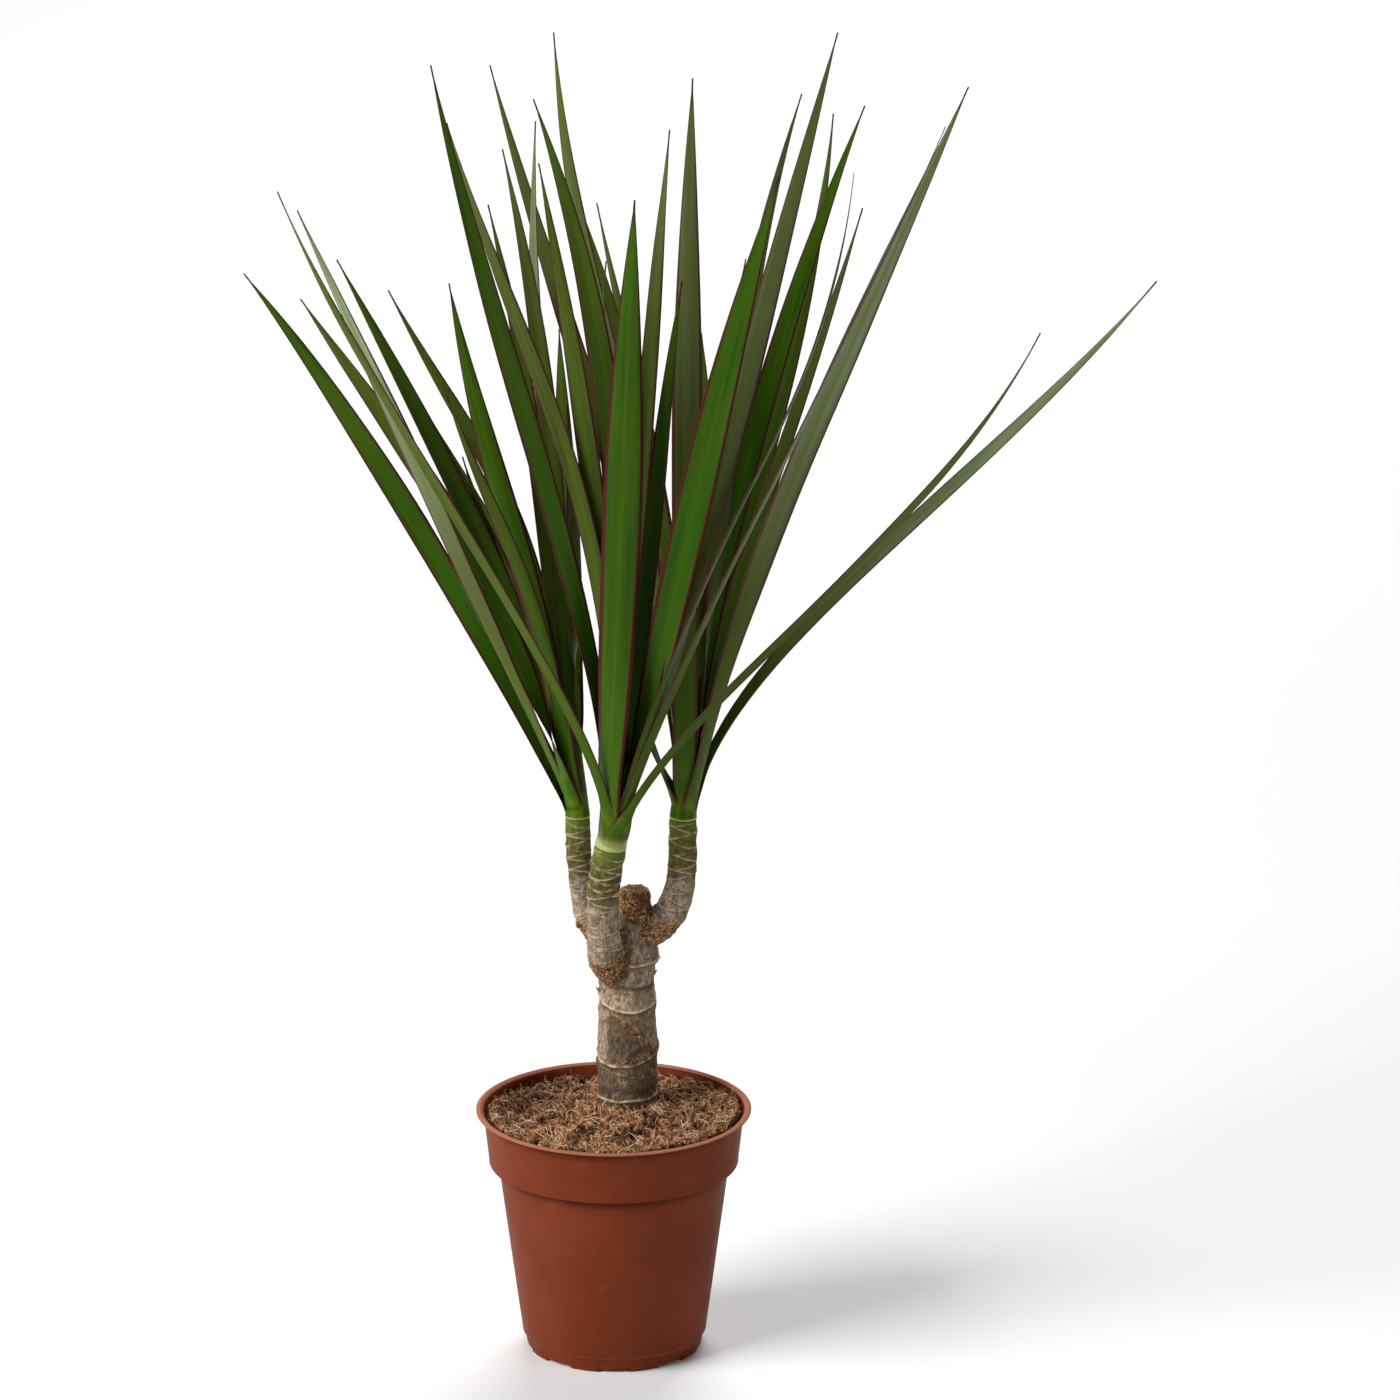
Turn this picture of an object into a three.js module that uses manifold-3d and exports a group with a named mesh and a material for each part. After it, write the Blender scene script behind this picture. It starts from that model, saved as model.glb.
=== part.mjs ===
// Potted dracaena marginata: a nursery pot filled with potting mix, one thick cane cut off at the top
// with three shoots beside the cut, and a head of long narrow leaves on each shoot.
// Millimetres, +Z up. The origin is the middle of the pot's underside.
import * as THREE from 'three';
import { mergeVertices } from 'three/addons/utils/BufferGeometryUtils.js';
import Module from 'manifold-3d';

const wasm = await Module();
wasm.setup();

// ---------- driving dimensions ----------

const GAP = 0.3; // clearance between pieces that touch
const OVERCUT = 2; // how far a cutter reaches past what it cuts
const WELD = 1e-4; // points closer than this are one

const POT = {
  height: 109.2,
  lipRadius: 60,
  lipHeight: 1.2,
  lipRoll: 0.4,
  collarTopRadius: 56.8,
  collarLowRadius: 54.3,
  collarLow: 84.4,
  bodyTopRadius: 50.4,
  bodyLowRadius: 40.2,
  bandHeight: 6.5,
  bandRadius: 39.2,
  bandStep: 0.5,
  footRadius: 38.2,
  mouthRadius: 56.4,
  wall: 1.3,
  floor: 2.6,
  sides: 45,
};

const DRAIN = {
  count: 9,
  arc: 21,
  arcSteps: 4,
  depth: 1.3,
  inner: 24,
  holeRadius: 3.5,
  holeCircle: 31,
  holeSides: 12,
};

const SOIL = {
  edgeTop: 102.4,
  edgeDrop: 2,
  mound: 6,
  moundSpread: 26,
  lump: 0.9,
  rings: [7, 15, 23, 31, 39, 46, 52.5],
  sides: 36,
};

// Lumps of the soil: turns per mm in X and Y (radians), the start of each wave and its size.
const SOIL_WAVES = [
  { x: 0.31, y: 0.27, start: 0.9, size: 0.5 },
  { x: 0.31, y: -0.27, start: 1.7, size: 0.5 },
  { x: 0.53, y: -0.41, start: 0, size: 0.7 },
];

const CANE = {
  x: 6,
  y: 15,
  radius: 12.5,
  buriedRadius: 12.9,
  foot: 60,
  soilLine: 110,
  top: 188,
  holeRadius: 13.3,
  swell: 0.35,
  swellWave: 0.11,
  oval: 0.3,
  ovalTwist: 0.05,
  topRounding: 0.72,
  roundedHeight: 10,
  sides: 22,
  rings: 28,
  buriedRings: 2,
};

// Leaf scars round the cane: height on its axis, how far the ring tilts, the compass angle (degrees)
// of its high side, and how far it stands out.
const CANE_SCARS = [
  { height: 170, tilt: 3, high: -60, rise: 0.7 },
  { height: 163, tilt: 1, high: 90, rise: -0.5 },
  { height: 156, tilt: 6, high: 125, rise: 0.8 },
  { height: 140, tilt: 11, high: 210, rise: 0.7 },
  { height: 130, tilt: 6, high: -30, rise: 0.9 },
  { height: 116, tilt: 1, high: 0, rise: 0.6 },
];
const SCAR_WIDTH = 1.5;

const STUB = {
  route: [[8, 15, 172], [9.2, 15, 190], [9.6, 15, 204.5]],
  lowRadius: 12,
  topRadius: 6.9,
  taperedAt: 0.75,
  rim: 0.09,
  rimFrom: 0.96,
  roughness: 0.45,
  sides: 14,
  rings: 7,
};
const STUB_WAVES = [
  { around: 5, along: 9, start: 0, size: 1 },
  { around: 3, along: -17, start: Math.PI / 2, size: 0.8 },
];

// Shoots: the middle of each, from its root in the cane to the flat top that carries a head of
// leaves, with the radii along it.
const SHOOTS = {
  left: {
    route: [
      [2, 17, 177], [-5, 19, 182], [-10.4, 21, 190],
      [-13.2, 22.5, 202], [-14.8, 24, 218], [-15.2, 24, 234],
    ],
    radii: [7, 6.6, 5.9, 5.3, 5.4, 5.4],
  },
  front: {
    route: [
      [2, 9, 168], [-2.6, 3.5, 175], [-4.2, 0, 190],
      [-4.5, -2.5, 204], [-3, -5, 219], [-1, -6.5, 230.5],
    ],
    radii: [7.6, 8, 6.9, 6.9, 6.9, 6.9],
  },
  right: {
    route: [
      [6, 15, 178], [14, 14.5, 184], [21.5, 13.5, 189.5],
      [26.8, 12, 199], [29.6, 11, 212], [30.4, 10, 238],
    ],
    radii: [8, 7.4, 6.9, 6.3, 6, 5.9],
  },
};
const SHOOT_SCAR = { spacing: 4.7, rise: 0.4, tilt: 1.6, turn: 137.5 };
const SHOOT_BARK = { rise: 0.25, ridges: 3, twist: 4, fadesFrom: 0.5, gone: 0.9 };
const SHOOT_SIDES = 12;

const CORE = { length: 40, tipRadius: 1.6, sides: 10, rings: 2 };
const BLADE = {
  thickness: 0.8,
  stations: 8,
  sheathSpan: 2.3,
  sheathLength: 22,
  opening: 1.4,
  neck: 0.82,
  widens: 0.05,
  widest: 0.52,
  taper: 1.75,
  tipWidth: 0.9,
  gutter: 0.035,
  outward: 0.12,
  tipHold: 0.38,
  turnsFrom: 0.04,
  turnedAt: 0.4,
  firstHeight: 1.6,
  heightStep: 2.1,
  sink: 0.45,
};

// Leaves of each head, from the lowest to the youngest. tip: where the leaf ends. width: at its widest.
// hold: the share of its length that it climbs along the shoot. droop and sway: how far its tip bends
// down and sideways from the straight line, in degrees. face: how far the blade turns its face to the
// light in front, from 0, as it grew, to 1; below 0 it turns its back there. seat: how far its root sits
// round the shoot from the side that it leans to, towards the back, or below 0 towards the front.
const leaf = (tip, width, hold, droop, sway, face, seat = 0.5 * face) => (
  { tip, width, hold, droop, sway, face, seat }
);

const HEADS = {
  left_head: {
    shoot: 'left',
    coreRadius: 5.5,
    leaves: [
      leaf([-157, 48, 471], 10.5, 0.04, 7, -4, 0.9),
      leaf([-80, -3, 401], 9, 0.16, 7, 0, 0.8, -0.4),
      leaf([-133, 30, 503], 8.5, 0.04, 1, 1, -0.7),
      leaf([-69, 34, 470], 11, 0.35, -2, 2, -0.8, -0.65),
      leaf([-137, 150, 434], 10, 0.25, 8, 0, 0.5),
      leaf([-70, -6, 432], 6.5, 0.49, 3, -1, -0.7),
      leaf([-117, 44, 478], 8.5, 0.19, 5, 0, 0.8),
      leaf([-99, 95, 430], 8.5, 0.25, 5, 0, 0.6),
      leaf([-64, 39, 392], 6, 0.12, -2, 1, 0.7),
      leaf([-95, 38, 466], 7.5, 0.55, 7, 0, 0.8),
      leaf([-84, 130, 392], 9, 0.3, 6, 0, 0.5),
      leaf([-23, 150, 420], 10, 0.35, 8, 0, 0.5),
      leaf([-52, 31, 505], 7.5, 0.55, 3, -7, 0.7),
      leaf([-46, 49, 525], 8.5, 0.46, 8, -1, 0.8),
      leaf([-19, 50, 412], 8, 0.39, 0, -3, -0.8),
      leaf([-32, 67, 533], 6.5, 0.31, -15, 3, -0.8),
    ],
  },
  front_head: {
    shoot: 'front',
    coreRadius: 7,
    leaves: [
      leaf([178, -62, 472], 4.6, 0.21, -13, 11, 0.1, -0.8),
      leaf([-138, -45, 529], 5.5, 0.16, -5, -6, 0.1, -0.8),
      leaf([10, -41, 524], 17, 0.35, 0, 1, -0.9, -0.5),
      leaf([138, -59, 559], 5, 0.21, -1, -1, 0.25, -0.7),
      leaf([101, -40, 535], 7, 0.54, -14, 2, 0.3, -0.7),
      leaf([-74, -44, 582], 9.5, 0.22, -1, 1, 0.7),
      leaf([70, -51, 537], 15, 0.04, 0, -8, 0.9),
      leaf([94, -38, 594], 10.5, 0.26, 1, -1, -0.9),
      leaf([-68, -28, 554], 8, 0.46, 0, -11, -0.7),
      leaf([-30, -12, 533], 9.5, 0.26, 5, 0, -0.8),
      leaf([-32, -19, 562], 11.5, 0.26, 13, -3, 0.8),
      leaf([30, 0, 479], 8, 0.41, 1, 2, 0.8),
      leaf([25, 19, 540], 9, 0.31, 10, 5, -0.8),
      leaf([-2, 3, 487], 6.5, 0.55, -13, -5, -0.7),
      leaf([0, -8, 440], 7, 0.4, 0, 0, 0.5),
    ],
  },
  right_head: {
    shoot: 'right',
    coreRadius: 6,
    leaves: [
      leaf([232, 22, 473], 6, 0.23, -1, 0, 0.8),
      leaf([151, 20, 558], 10.5, 0.29, 4, -1, -0.9),
      leaf([-8, -1, 375], 6.5, 0.08, -12, 0, 0.4),
      leaf([35, 47, 556], 13, 0.25, 0, 1, -0.9, -0.8),
      leaf([75, 170, 414], 10, 0.3, 8, 0, 0.4),
      leaf([109, 90, 489], 6, 0.22, 1, -1, 0.6),
      leaf([109, 69, 539], 10, 0.25, 10, 1, 0.8),
      leaf([-52, 110, 548], 8.5, 0.22, 0, 0, 0.8),
      leaf([97, 120, 524], 8, 0.2, -8, -5, 0.6),
      leaf([82, 70, 544], 9, 0.33, 9, 5, -0.8),
      leaf([-24, 61, 573], 9, 0.55, -11, -3, -0.8),
      leaf([-13, 90, 490], 8, 0.34, 8, -4, 0.7),
      leaf([59, 120, 459], 8, 0.32, 5, 2, 0.6),
      leaf([-6, 130, 482], 6, 0.39, 4, -1, 0.6),
      leaf([40, 150, 418], 8, 0.4, 4, -6, 0.5),
    ],
  },
};

const LOOK = {
  pot: { color: 0x9c4a2c, roughness: 0.5, metalness: 0 },
  soil: { color: 0x5a3a26, roughness: 0.95, metalness: 0 },
  trunk: { color: 0x8a7c68, roughness: 0.85, metalness: 0 },
  left_head: { color: 0x2f6a1c, roughness: 0.4, metalness: 0 },
  front_head: { color: 0x347420, roughness: 0.4, metalness: 0 },
  right_head: { color: 0x2d641f, roughness: 0.4, metalness: 0 },
};

// ---------- shared tools ----------

const radians = THREE.MathUtils.degToRad;
const smooth = THREE.MathUtils.smoothstep;
const lerp = THREE.MathUtils.lerp;
const point = (xyz) => new THREE.Vector3(...xyz);

function toSolid(geometry) {
  const bare = geometry.clone();
  bare.deleteAttribute('normal');
  bare.deleteAttribute('uv');
  const merged = mergeVertices(bare, WELD);
  return new wasm.Manifold(new wasm.Mesh({
    numProp: 3,
    vertProperties: new Float32Array(merged.attributes.position.array),
    triVerts: new Uint32Array(merged.index.array),
  }));
}

function toGeometry(solid) {
  const mesh = solid.getMesh();
  const geometry = new THREE.BufferGeometry();
  geometry.setAttribute('position', new THREE.BufferAttribute(new Float32Array(mesh.vertProperties), 3));
  geometry.setIndex(new THREE.BufferAttribute(new Uint32Array(mesh.triVerts), 1));
  geometry.computeVertexNormals();
  return geometry;
}

// Keeps the largest closed skin of a joined piece, so that hollows shut in between leaves are filled.
function outerSkin(geometry) {
  const { index } = geometry;
  const owner = Array.from({ length: geometry.attributes.position.count }, (_, i) => i);
  const root = (i) => {
    let top = i;
    while (owner[top] !== top) {
      owner[top] = owner[owner[top]];
      top = owner[top];
    }
    return top;
  };
  for (let i = 0; i < index.count; i += 3) {
    owner[root(index.getX(i))] = root(index.getX(i + 1));
    owner[root(index.getX(i + 1))] = root(index.getX(i + 2));
  }
  const skins = new Map();
  for (let i = 0; i < index.count; i += 3) {
    const key = root(index.getX(i));
    skins.set(key, [...(skins.get(key) ?? []), index.getX(i), index.getX(i + 1), index.getX(i + 2)]);
  }
  const largest = [...skins.values()].reduce((best, skin) => (skin.length > best.length ? skin : best));
  geometry.setIndex(largest);
  return geometry;
}

// A closed profile turned round the Z axis.
function turned(profile, sides) {
  const geometry = new THREE.LatheGeometry(profile.map(([r, z]) => new THREE.Vector2(r, z)), sides);
  geometry.rotateX(Math.PI / 2);
  return geometry;
}

// A round bar whose points are moved by place(angle, share, size): size is 0 on its axis, 1 on its skin.
function shapedBar(sides, rings, place) {
  const geometry = new THREE.CylinderGeometry(1, 1, 1, sides, rings);
  const spots = geometry.attributes.position;
  for (let i = 0; i < spots.count; i += 1) {
    const size = Math.hypot(spots.getX(i), spots.getZ(i));
    const angle = Math.atan2(-spots.getZ(i), spots.getX(i));
    const moved = place(angle, spots.getY(i) + 0.5, size);
    spots.setXYZ(i, moved.x, moved.y, moved.z);
  }
  return geometry;
}

// A value read between evenly spaced ones.
function between(values, share) {
  const place = THREE.MathUtils.clamp(share, 0, 1) * (values.length - 1);
  const low = Math.min(Math.floor(place), values.length - 2);
  return lerp(values[low], values[low + 1], place - low);
}

// A frame square to a direction: side and back stay close to the world's X and Y axes.
function squareFrame(direction) {
  const side = new THREE.Vector3(1, 0, 0).addScaledVector(direction, -direction.x).normalize();
  return { side, back: new THREE.Vector3().crossVectors(direction, side) };
}

// A round bar bent along a route, with its radius given by radiusAt(angle, share).
function bentBar(route, sides, rings, radiusAt) {
  const curve = new THREE.CatmullRomCurve3(route.map(point));
  return shapedBar(sides, rings, (angle, share, size) => {
    const { side, back } = squareFrame(curve.getTangentAt(share));
    const radius = size * radiusAt(angle, share);
    return curve.getPointAt(share)
      .addScaledVector(side, radius * Math.cos(angle))
      .addScaledVector(back, radius * Math.sin(angle));
  });
}

// ---------- pot: one moulded shell with a rolled lip, drain notches in its foot and holes ----------

function potProfile() {
  const { height, wall, floor } = POT;
  const lipUnder = height - POT.lipHeight;
  const outside = [
    [0, 0],
    [POT.footRadius, 0],
    [POT.bandRadius, POT.bandHeight],
    [POT.bodyLowRadius, POT.bandHeight + POT.bandStep],
    [POT.bodyTopRadius, POT.collarLow],
    [POT.collarLowRadius, POT.collarLow],
    [POT.collarTopRadius, lipUnder],
    [POT.lipRadius - POT.lipRoll, lipUnder],
    [POT.lipRadius, lipUnder + POT.lipRoll],
    [POT.lipRadius, height - POT.lipRoll],
    [POT.lipRadius - POT.lipRoll, height],
  ];
  const inside = [
    [POT.mouthRadius + POT.lipRoll, height],
    [POT.mouthRadius, height - POT.lipRoll],
    [POT.collarTopRadius - wall, lipUnder],
    [POT.collarLowRadius - wall, POT.collarLow + wall],
    [POT.bodyTopRadius - wall, POT.collarLow + wall],
    [POT.footRadius - wall, floor],
    [0, floor],
  ];
  return [...outside, ...inside];
}

function drainNotch() {
  const half = radians(DRAIN.arc / 2);
  const outer = POT.bandRadius + OVERCUT;
  const sector = new THREE.Shape();
  sector.absarc(0, 0, outer, -half, half, false);
  sector.absarc(0, 0, DRAIN.inner, half, -half, true);
  const cutter = new THREE.ExtrudeGeometry(sector, {
    depth: DRAIN.depth + OVERCUT,
    bevelEnabled: false,
    curveSegments: DRAIN.arcSteps,
  });
  return cutter.translate(0, 0, -OVERCUT);
}

function drainHole() {
  const { holeRadius, holeSides } = DRAIN;
  const hole = new THREE.CylinderGeometry(holeRadius, holeRadius, POT.floor + 2 * OVERCUT, holeSides);
  return hole.rotateX(Math.PI / 2).translate(DRAIN.holeCircle, 0, POT.floor / 2);
}

function makePot() {
  let pot = toSolid(turned(potProfile(), POT.sides));
  for (let i = 0; i < DRAIN.count; i += 1) {
    const turn = -Math.PI / 2 + (i * 2 * Math.PI) / DRAIN.count;
    pot = pot.subtract(toSolid(drainNotch().rotateZ(turn)));
    pot = pot.subtract(toSolid(drainHole().rotateZ(turn)));
  }
  return toGeometry(pot);
}

// ---------- soil: fills the pot, mounded and lumpy on top, with a plain hole for the cane ----------

function soilTop(x, y) {
  const fromCane = Math.hypot(x - CANE.x, y - CANE.y);
  const mound = SOIL.mound * Math.exp(-((fromCane / SOIL.moundSpread) ** 2));
  const lumps = SOIL_WAVES.reduce((sum, wave) => (
    sum + wave.size * Math.sin(wave.x * x + wave.y * y + wave.start)
  ), 0);
  return SOIL.edgeTop + mound + SOIL.lump * lumps;
}

function makeSoil() {
  const inset = POT.wall + 2 * GAP;
  const bottom = POT.floor + GAP;
  const edge = SOIL.edgeTop - SOIL.edgeDrop;
  const ledge = POT.collarLow + POT.wall + GAP;
  const up = (edge - POT.collarLow) / (POT.height - POT.lipHeight - POT.collarLow);
  const collar = lerp(POT.collarLowRadius, POT.collarTopRadius, up);
  const profile = [
    [0, bottom],
    [POT.footRadius - inset, bottom],
    [POT.bodyTopRadius - inset, ledge],
    [POT.collarLowRadius - inset, ledge],
    [collar - inset, edge],
    ...SOIL.rings.toReversed().map((radius) => [radius, SOIL.edgeTop]),
    [0, SOIL.edgeTop],
  ];
  const geometry = turned(profile, SOIL.sides);
  const spots = geometry.attributes.position;
  for (let i = 0; i < spots.count; i += 1) {
    if (spots.getZ(i) > edge) {
      spots.setZ(i, soilTop(spots.getX(i), spots.getY(i)));
    }
  }
  const depth = POT.height - CANE.foot + GAP;
  const hole = new THREE.CylinderGeometry(CANE.holeRadius, CANE.holeRadius, 2 * depth, CANE.sides);
  hole.rotateX(Math.PI / 2).translate(CANE.x, CANE.y, POT.height);
  return toGeometry(toSolid(geometry).subtract(toSolid(hole)));
}

// ---------- trunk: the cane, its cut stub and the three shoots, grown as one ----------

function caneRadius(angle, height) {
  if (height < CANE.soilLine) {
    return CANE.buriedRadius;
  }
  const swell = CANE.swell * Math.sin(CANE.swellWave * height);
  const oval = CANE.oval * Math.cos(2 * angle + CANE.ovalTwist * height);
  const scars = CANE_SCARS.reduce((sum, scar) => {
    const ring = scar.height + scar.tilt * Math.cos(angle - radians(scar.high));
    return sum + scar.rise * Math.exp(-(((height - ring) / SCAR_WIDTH) ** 2));
  }, 0);
  return CANE.radius + swell + oval + scars;
}

function makeCane() {
  const heightOf = (share) => {
    const low = CANE.buriedRings / CANE.rings;
    return share < low ? lerp(CANE.foot, CANE.soilLine, share / low)
      : lerp(CANE.soilLine, CANE.top, (share - low) / (1 - low));
  };
  return shapedBar(CANE.sides, CANE.rings, (angle, share, size) => {
    const height = heightOf(share);
    const rounding = lerp(1, CANE.topRounding, smooth(height, CANE.top - CANE.roundedHeight, CANE.top));
    const radius = size * caneRadius(angle, height) * rounding;
    return new THREE.Vector3(
      CANE.x + radius * Math.cos(angle),
      CANE.y + radius * Math.sin(angle),
      height,
    );
  });
}

function makeStub() {
  return bentBar(STUB.route, STUB.sides, STUB.rings, (angle, share) => {
    const rough = STUB_WAVES.reduce((sum, wave) => (
      sum + wave.size * Math.sin(wave.around * angle + wave.along * share + wave.start)
    ), 0);
    const rim = 1 - STUB.rim * smooth(share, STUB.rimFrom, 1);
    const plain = lerp(STUB.lowRadius, STUB.topRadius, smooth(share, 0, STUB.taperedAt));
    return (plain + STUB.roughness * rough) * rim;
  });
}

// A shoot has a low ledge at every leaf scar. The ledges tilt this way and that, so they meet in places.
function makeShoot({ route, radii }) {
  const length = new THREE.CatmullRomCurve3(route.map(point)).getLength();
  const scars = Math.floor(length / SHOOT_SCAR.spacing);
  return bentBar(route, SHOOT_SIDES, 2 * scars, (angle, share) => {
    const along = share * length;
    const plain = along > length - SHOOT_SCAR.spacing / 2;
    const near = Math.round(along / SHOOT_SCAR.spacing);
    const tilt = SHOOT_SCAR.tilt * Math.cos(angle - radians(near * SHOOT_SCAR.turn));
    const offset = (along - near * SHOOT_SCAR.spacing - tilt) / (SHOOT_SCAR.spacing / 4);
    const ledge = plain ? 0 : SHOOT_SCAR.rise * Math.exp(-(offset ** 2));
    const fading = 1 - smooth(share, SHOOT_BARK.fadesFrom, SHOOT_BARK.gone);
    const bark = SHOOT_BARK.rise * Math.sin(SHOOT_BARK.ridges * angle + SHOOT_BARK.twist * share);
    return between(radii, share) + ledge + fading * bark;
  });
}

function makeTrunk() {
  let trunk = toSolid(makeCane()).add(toSolid(makeStub()));
  for (const shoot of Object.values(SHOOTS)) {
    trunk = trunk.add(toSolid(makeShoot(shoot)));
  }
  return toGeometry(trunk);
}

// ---------- heads of leaves ----------

// Width of a leaf at a distance from its root: the sheath narrows to a neck, the blade widens to its
// full width before the middle and then runs out to the tip.
function leafWidth(distance, length, width, sheath) {
  const share = distance / length;
  const neck = lerp(sheath, BLADE.neck * width, smooth(distance, 0, BLADE.sheathLength));
  const blade = lerp(neck, width, smooth(share, BLADE.widens, BLADE.widest));
  const taper = 1 - Math.max(0, (share - BLADE.widest) / (1 - BLADE.widest)) ** BLADE.taper;
  return Math.max(blade * taper, BLADE.tipWidth);
}

function leafSpine(root, out, axis, { tip, hold, droop, sway }) {
  const end = point(tip);
  const chord = end.clone().sub(root);
  const length = chord.length();
  chord.normalize();
  const up = axis.clone().addScaledVector(chord, -axis.dot(chord)).normalize();
  const aside = new THREE.Vector3().crossVectors(chord, up);
  const tipWay = chord.clone().multiplyScalar(Math.cos(radians(droop)))
    .addScaledVector(up, -Math.sin(radians(droop)))
    .multiplyScalar(Math.cos(radians(sway)))
    .addScaledVector(aside, Math.sin(radians(sway)));
  const first = root.clone().addScaledVector(axis, hold * length)
    .addScaledVector(out, BLADE.outward * hold * length);
  const second = end.clone().addScaledVector(tipWay, -BLADE.tipHold * length);
  return new THREE.CubicBezierCurve3(root, first, second, end);
}

// The signed angle about a direction that turns one square vector onto another.
function swingAbout(direction, from, to) {
  const across = new THREE.Vector3().crossVectors(from, to).dot(direction);
  return Math.atan2(across, from.dot(to));
}

const squareTo = (direction, vector) => vector.clone()
  .addScaledVector(direction, -vector.dot(direction)).normalize();

// One leaf as rings of six points: three across its upper face and three across its lower one.
function leafRings(root, out, axis, radius, row) {
  const spine = leafSpine(root, out, axis, row);
  const length = spine.getLength();
  const light = new THREE.Vector3(0, row.face < 0 ? 1 : -1, 0);
  const frames = [];
  let face = out.clone().negate();
  for (let i = 0; i < BLADE.stations; i += 1) {
    const share = i / (BLADE.stations - 1);
    const way = spine.getTangentAt(share);
    face = squareTo(way, face);
    frames.push({ share, way, face, spot: spine.getPointAt(share) });
  }
  const middle = frames[Math.floor(BLADE.stations / 2)];
  const swing = Math.abs(row.face) * swingAbout(middle.way, middle.face, squareTo(middle.way, light));
  return frames.map(({ share, way, face: grown, spot }) => {
    const distance = share * length;
    const twist = swing * smooth(share, BLADE.turnsFrom, BLADE.turnedAt);
    const normal = grown.clone().applyAxisAngle(way, twist);
    const side = new THREE.Vector3().crossVectors(way, normal);
    const width = leafWidth(distance, length, row.width, BLADE.sheathSpan * radius);
    const open = smooth(distance, 0, BLADE.opening * BLADE.sheathLength);
    const curl = lerp(1 / (radius - BLADE.sink), BLADE.gutter, open);
    const across = (turn, lift) => spot.clone()
      .addScaledVector(side, Math.sin(turn) / curl)
      .addScaledVector(normal, (1 - Math.cos(turn)) / curl)
      .addScaledVector(normal, lift * Math.cos(turn))
      .addScaledVector(side, -lift * Math.sin(turn));
    const half = (curl * width) / 2;
    const lift = BLADE.thickness / 2;
    return [
      ...[-half, 0, half].map((turn) => across(turn, lift)),
      ...[half, 0, -half].map((turn) => across(turn, -lift)),
    ];
  });
}

// Closes rings of six points into a blade. Both faces are split into triangles alike.
function bladeGeometry(rings) {
  const index = [];
  const count = 6;
  for (let i = 0; i + 1 < rings.length; i += 1) {
    const [low, high] = [i * count, (i + 1) * count];
    for (const k of [0, 1, 2]) {
      index.push(low + k, low + k + 1, high + k + 1, low + k, high + k + 1, high + k);
    }
    for (const k of [3, 4, 5]) {
      const next = (k + 1) % count;
      index.push(low + k, low + next, high + k, low + next, high + next, high + k);
    }
  }
  const last = (rings.length - 1) * count;
  index.push(0, 4, 1, 0, 5, 4, 1, 3, 2, 1, 4, 3);
  index.push(last, last + 1, last + 4, last, last + 4, last + 5);
  index.push(last + 1, last + 2, last + 3, last + 1, last + 3, last + 4);
  const spots = rings.flat().flatMap((spot) => spot.toArray());
  const geometry = new THREE.BufferGeometry();
  geometry.setAttribute('position', new THREE.Float32BufferAttribute(spots, 3));
  geometry.setIndex(index);
  return geometry;
}

function makeHead({ shoot, coreRadius, leaves }) {
  const route = new THREE.CatmullRomCurve3(SHOOTS[shoot].route.map(point));
  const axis = route.getTangentAt(1);
  const foot = route.getPointAt(1).addScaledVector(axis, GAP);
  const coreAt = (height) => lerp(coreRadius, CORE.tipRadius, Math.min(1, height / CORE.length));
  const top = foot.clone().addScaledVector(axis, CORE.length);
  const middle = foot.clone().lerp(top, 0.5);
  let head = toSolid(bentBar([foot, middle, top].map((p) => p.toArray()), CORE.sides, CORE.rings,
    (angle, share) => coreAt(share * CORE.length)));
  leaves.forEach((row, order) => {
    const height = BLADE.firstHeight + BLADE.heightStep * order;
    const onAxis = foot.clone().addScaledVector(axis, height);
    const lean = squareTo(axis, point(row.tip).sub(onAxis)).multiplyScalar(1 - Math.abs(row.seat));
    const out = squareTo(axis, lean.add(new THREE.Vector3(0, row.seat, 0)));
    const radius = coreAt(height);
    const root = onAxis.clone().addScaledVector(out, radius - BLADE.sink);
    head = head.add(toSolid(bladeGeometry(leafRings(root, out, axis, radius, row))));
  });
  return outerSkin(toGeometry(head));
}

// ---------- the plant in its pot ----------

const group = new THREE.Group();

function place(name, geometry) {
  const mesh = new THREE.Mesh(geometry, new THREE.MeshStandardMaterial(LOOK[name]));
  mesh.name = name;
  group.add(mesh);
}

place('pot', makePot());
place('soil', makeSoil());
place('trunk', makeTrunk());
for (const [name, head] of Object.entries(HEADS)) {
  place(name, makeHead(head));
}

export default group;
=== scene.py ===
import math
import bpy
import numpy as np
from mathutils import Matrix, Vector, noise


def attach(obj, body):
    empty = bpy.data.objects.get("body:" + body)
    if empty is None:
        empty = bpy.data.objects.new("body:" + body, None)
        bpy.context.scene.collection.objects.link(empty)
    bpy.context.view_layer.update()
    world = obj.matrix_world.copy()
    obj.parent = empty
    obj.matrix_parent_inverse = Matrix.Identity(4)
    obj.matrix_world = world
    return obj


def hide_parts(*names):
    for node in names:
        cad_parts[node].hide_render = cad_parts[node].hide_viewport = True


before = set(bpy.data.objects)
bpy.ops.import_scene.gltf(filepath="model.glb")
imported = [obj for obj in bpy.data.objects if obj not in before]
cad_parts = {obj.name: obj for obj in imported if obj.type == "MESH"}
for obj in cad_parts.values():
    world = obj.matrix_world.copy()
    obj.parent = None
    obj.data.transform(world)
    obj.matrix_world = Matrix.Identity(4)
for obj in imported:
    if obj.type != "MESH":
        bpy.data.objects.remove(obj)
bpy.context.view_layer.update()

# ---------------------------------------------------------------- the view
# The plant is seen from in front and a little above, from over three metres away through a long lens,
# so that its far side hardly narrows. The whole plant fills a square picture.
view_height = 1.277
view_distance = 3.2
view_down, view_right = math.radians(17.071), math.radians(0.673)
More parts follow.
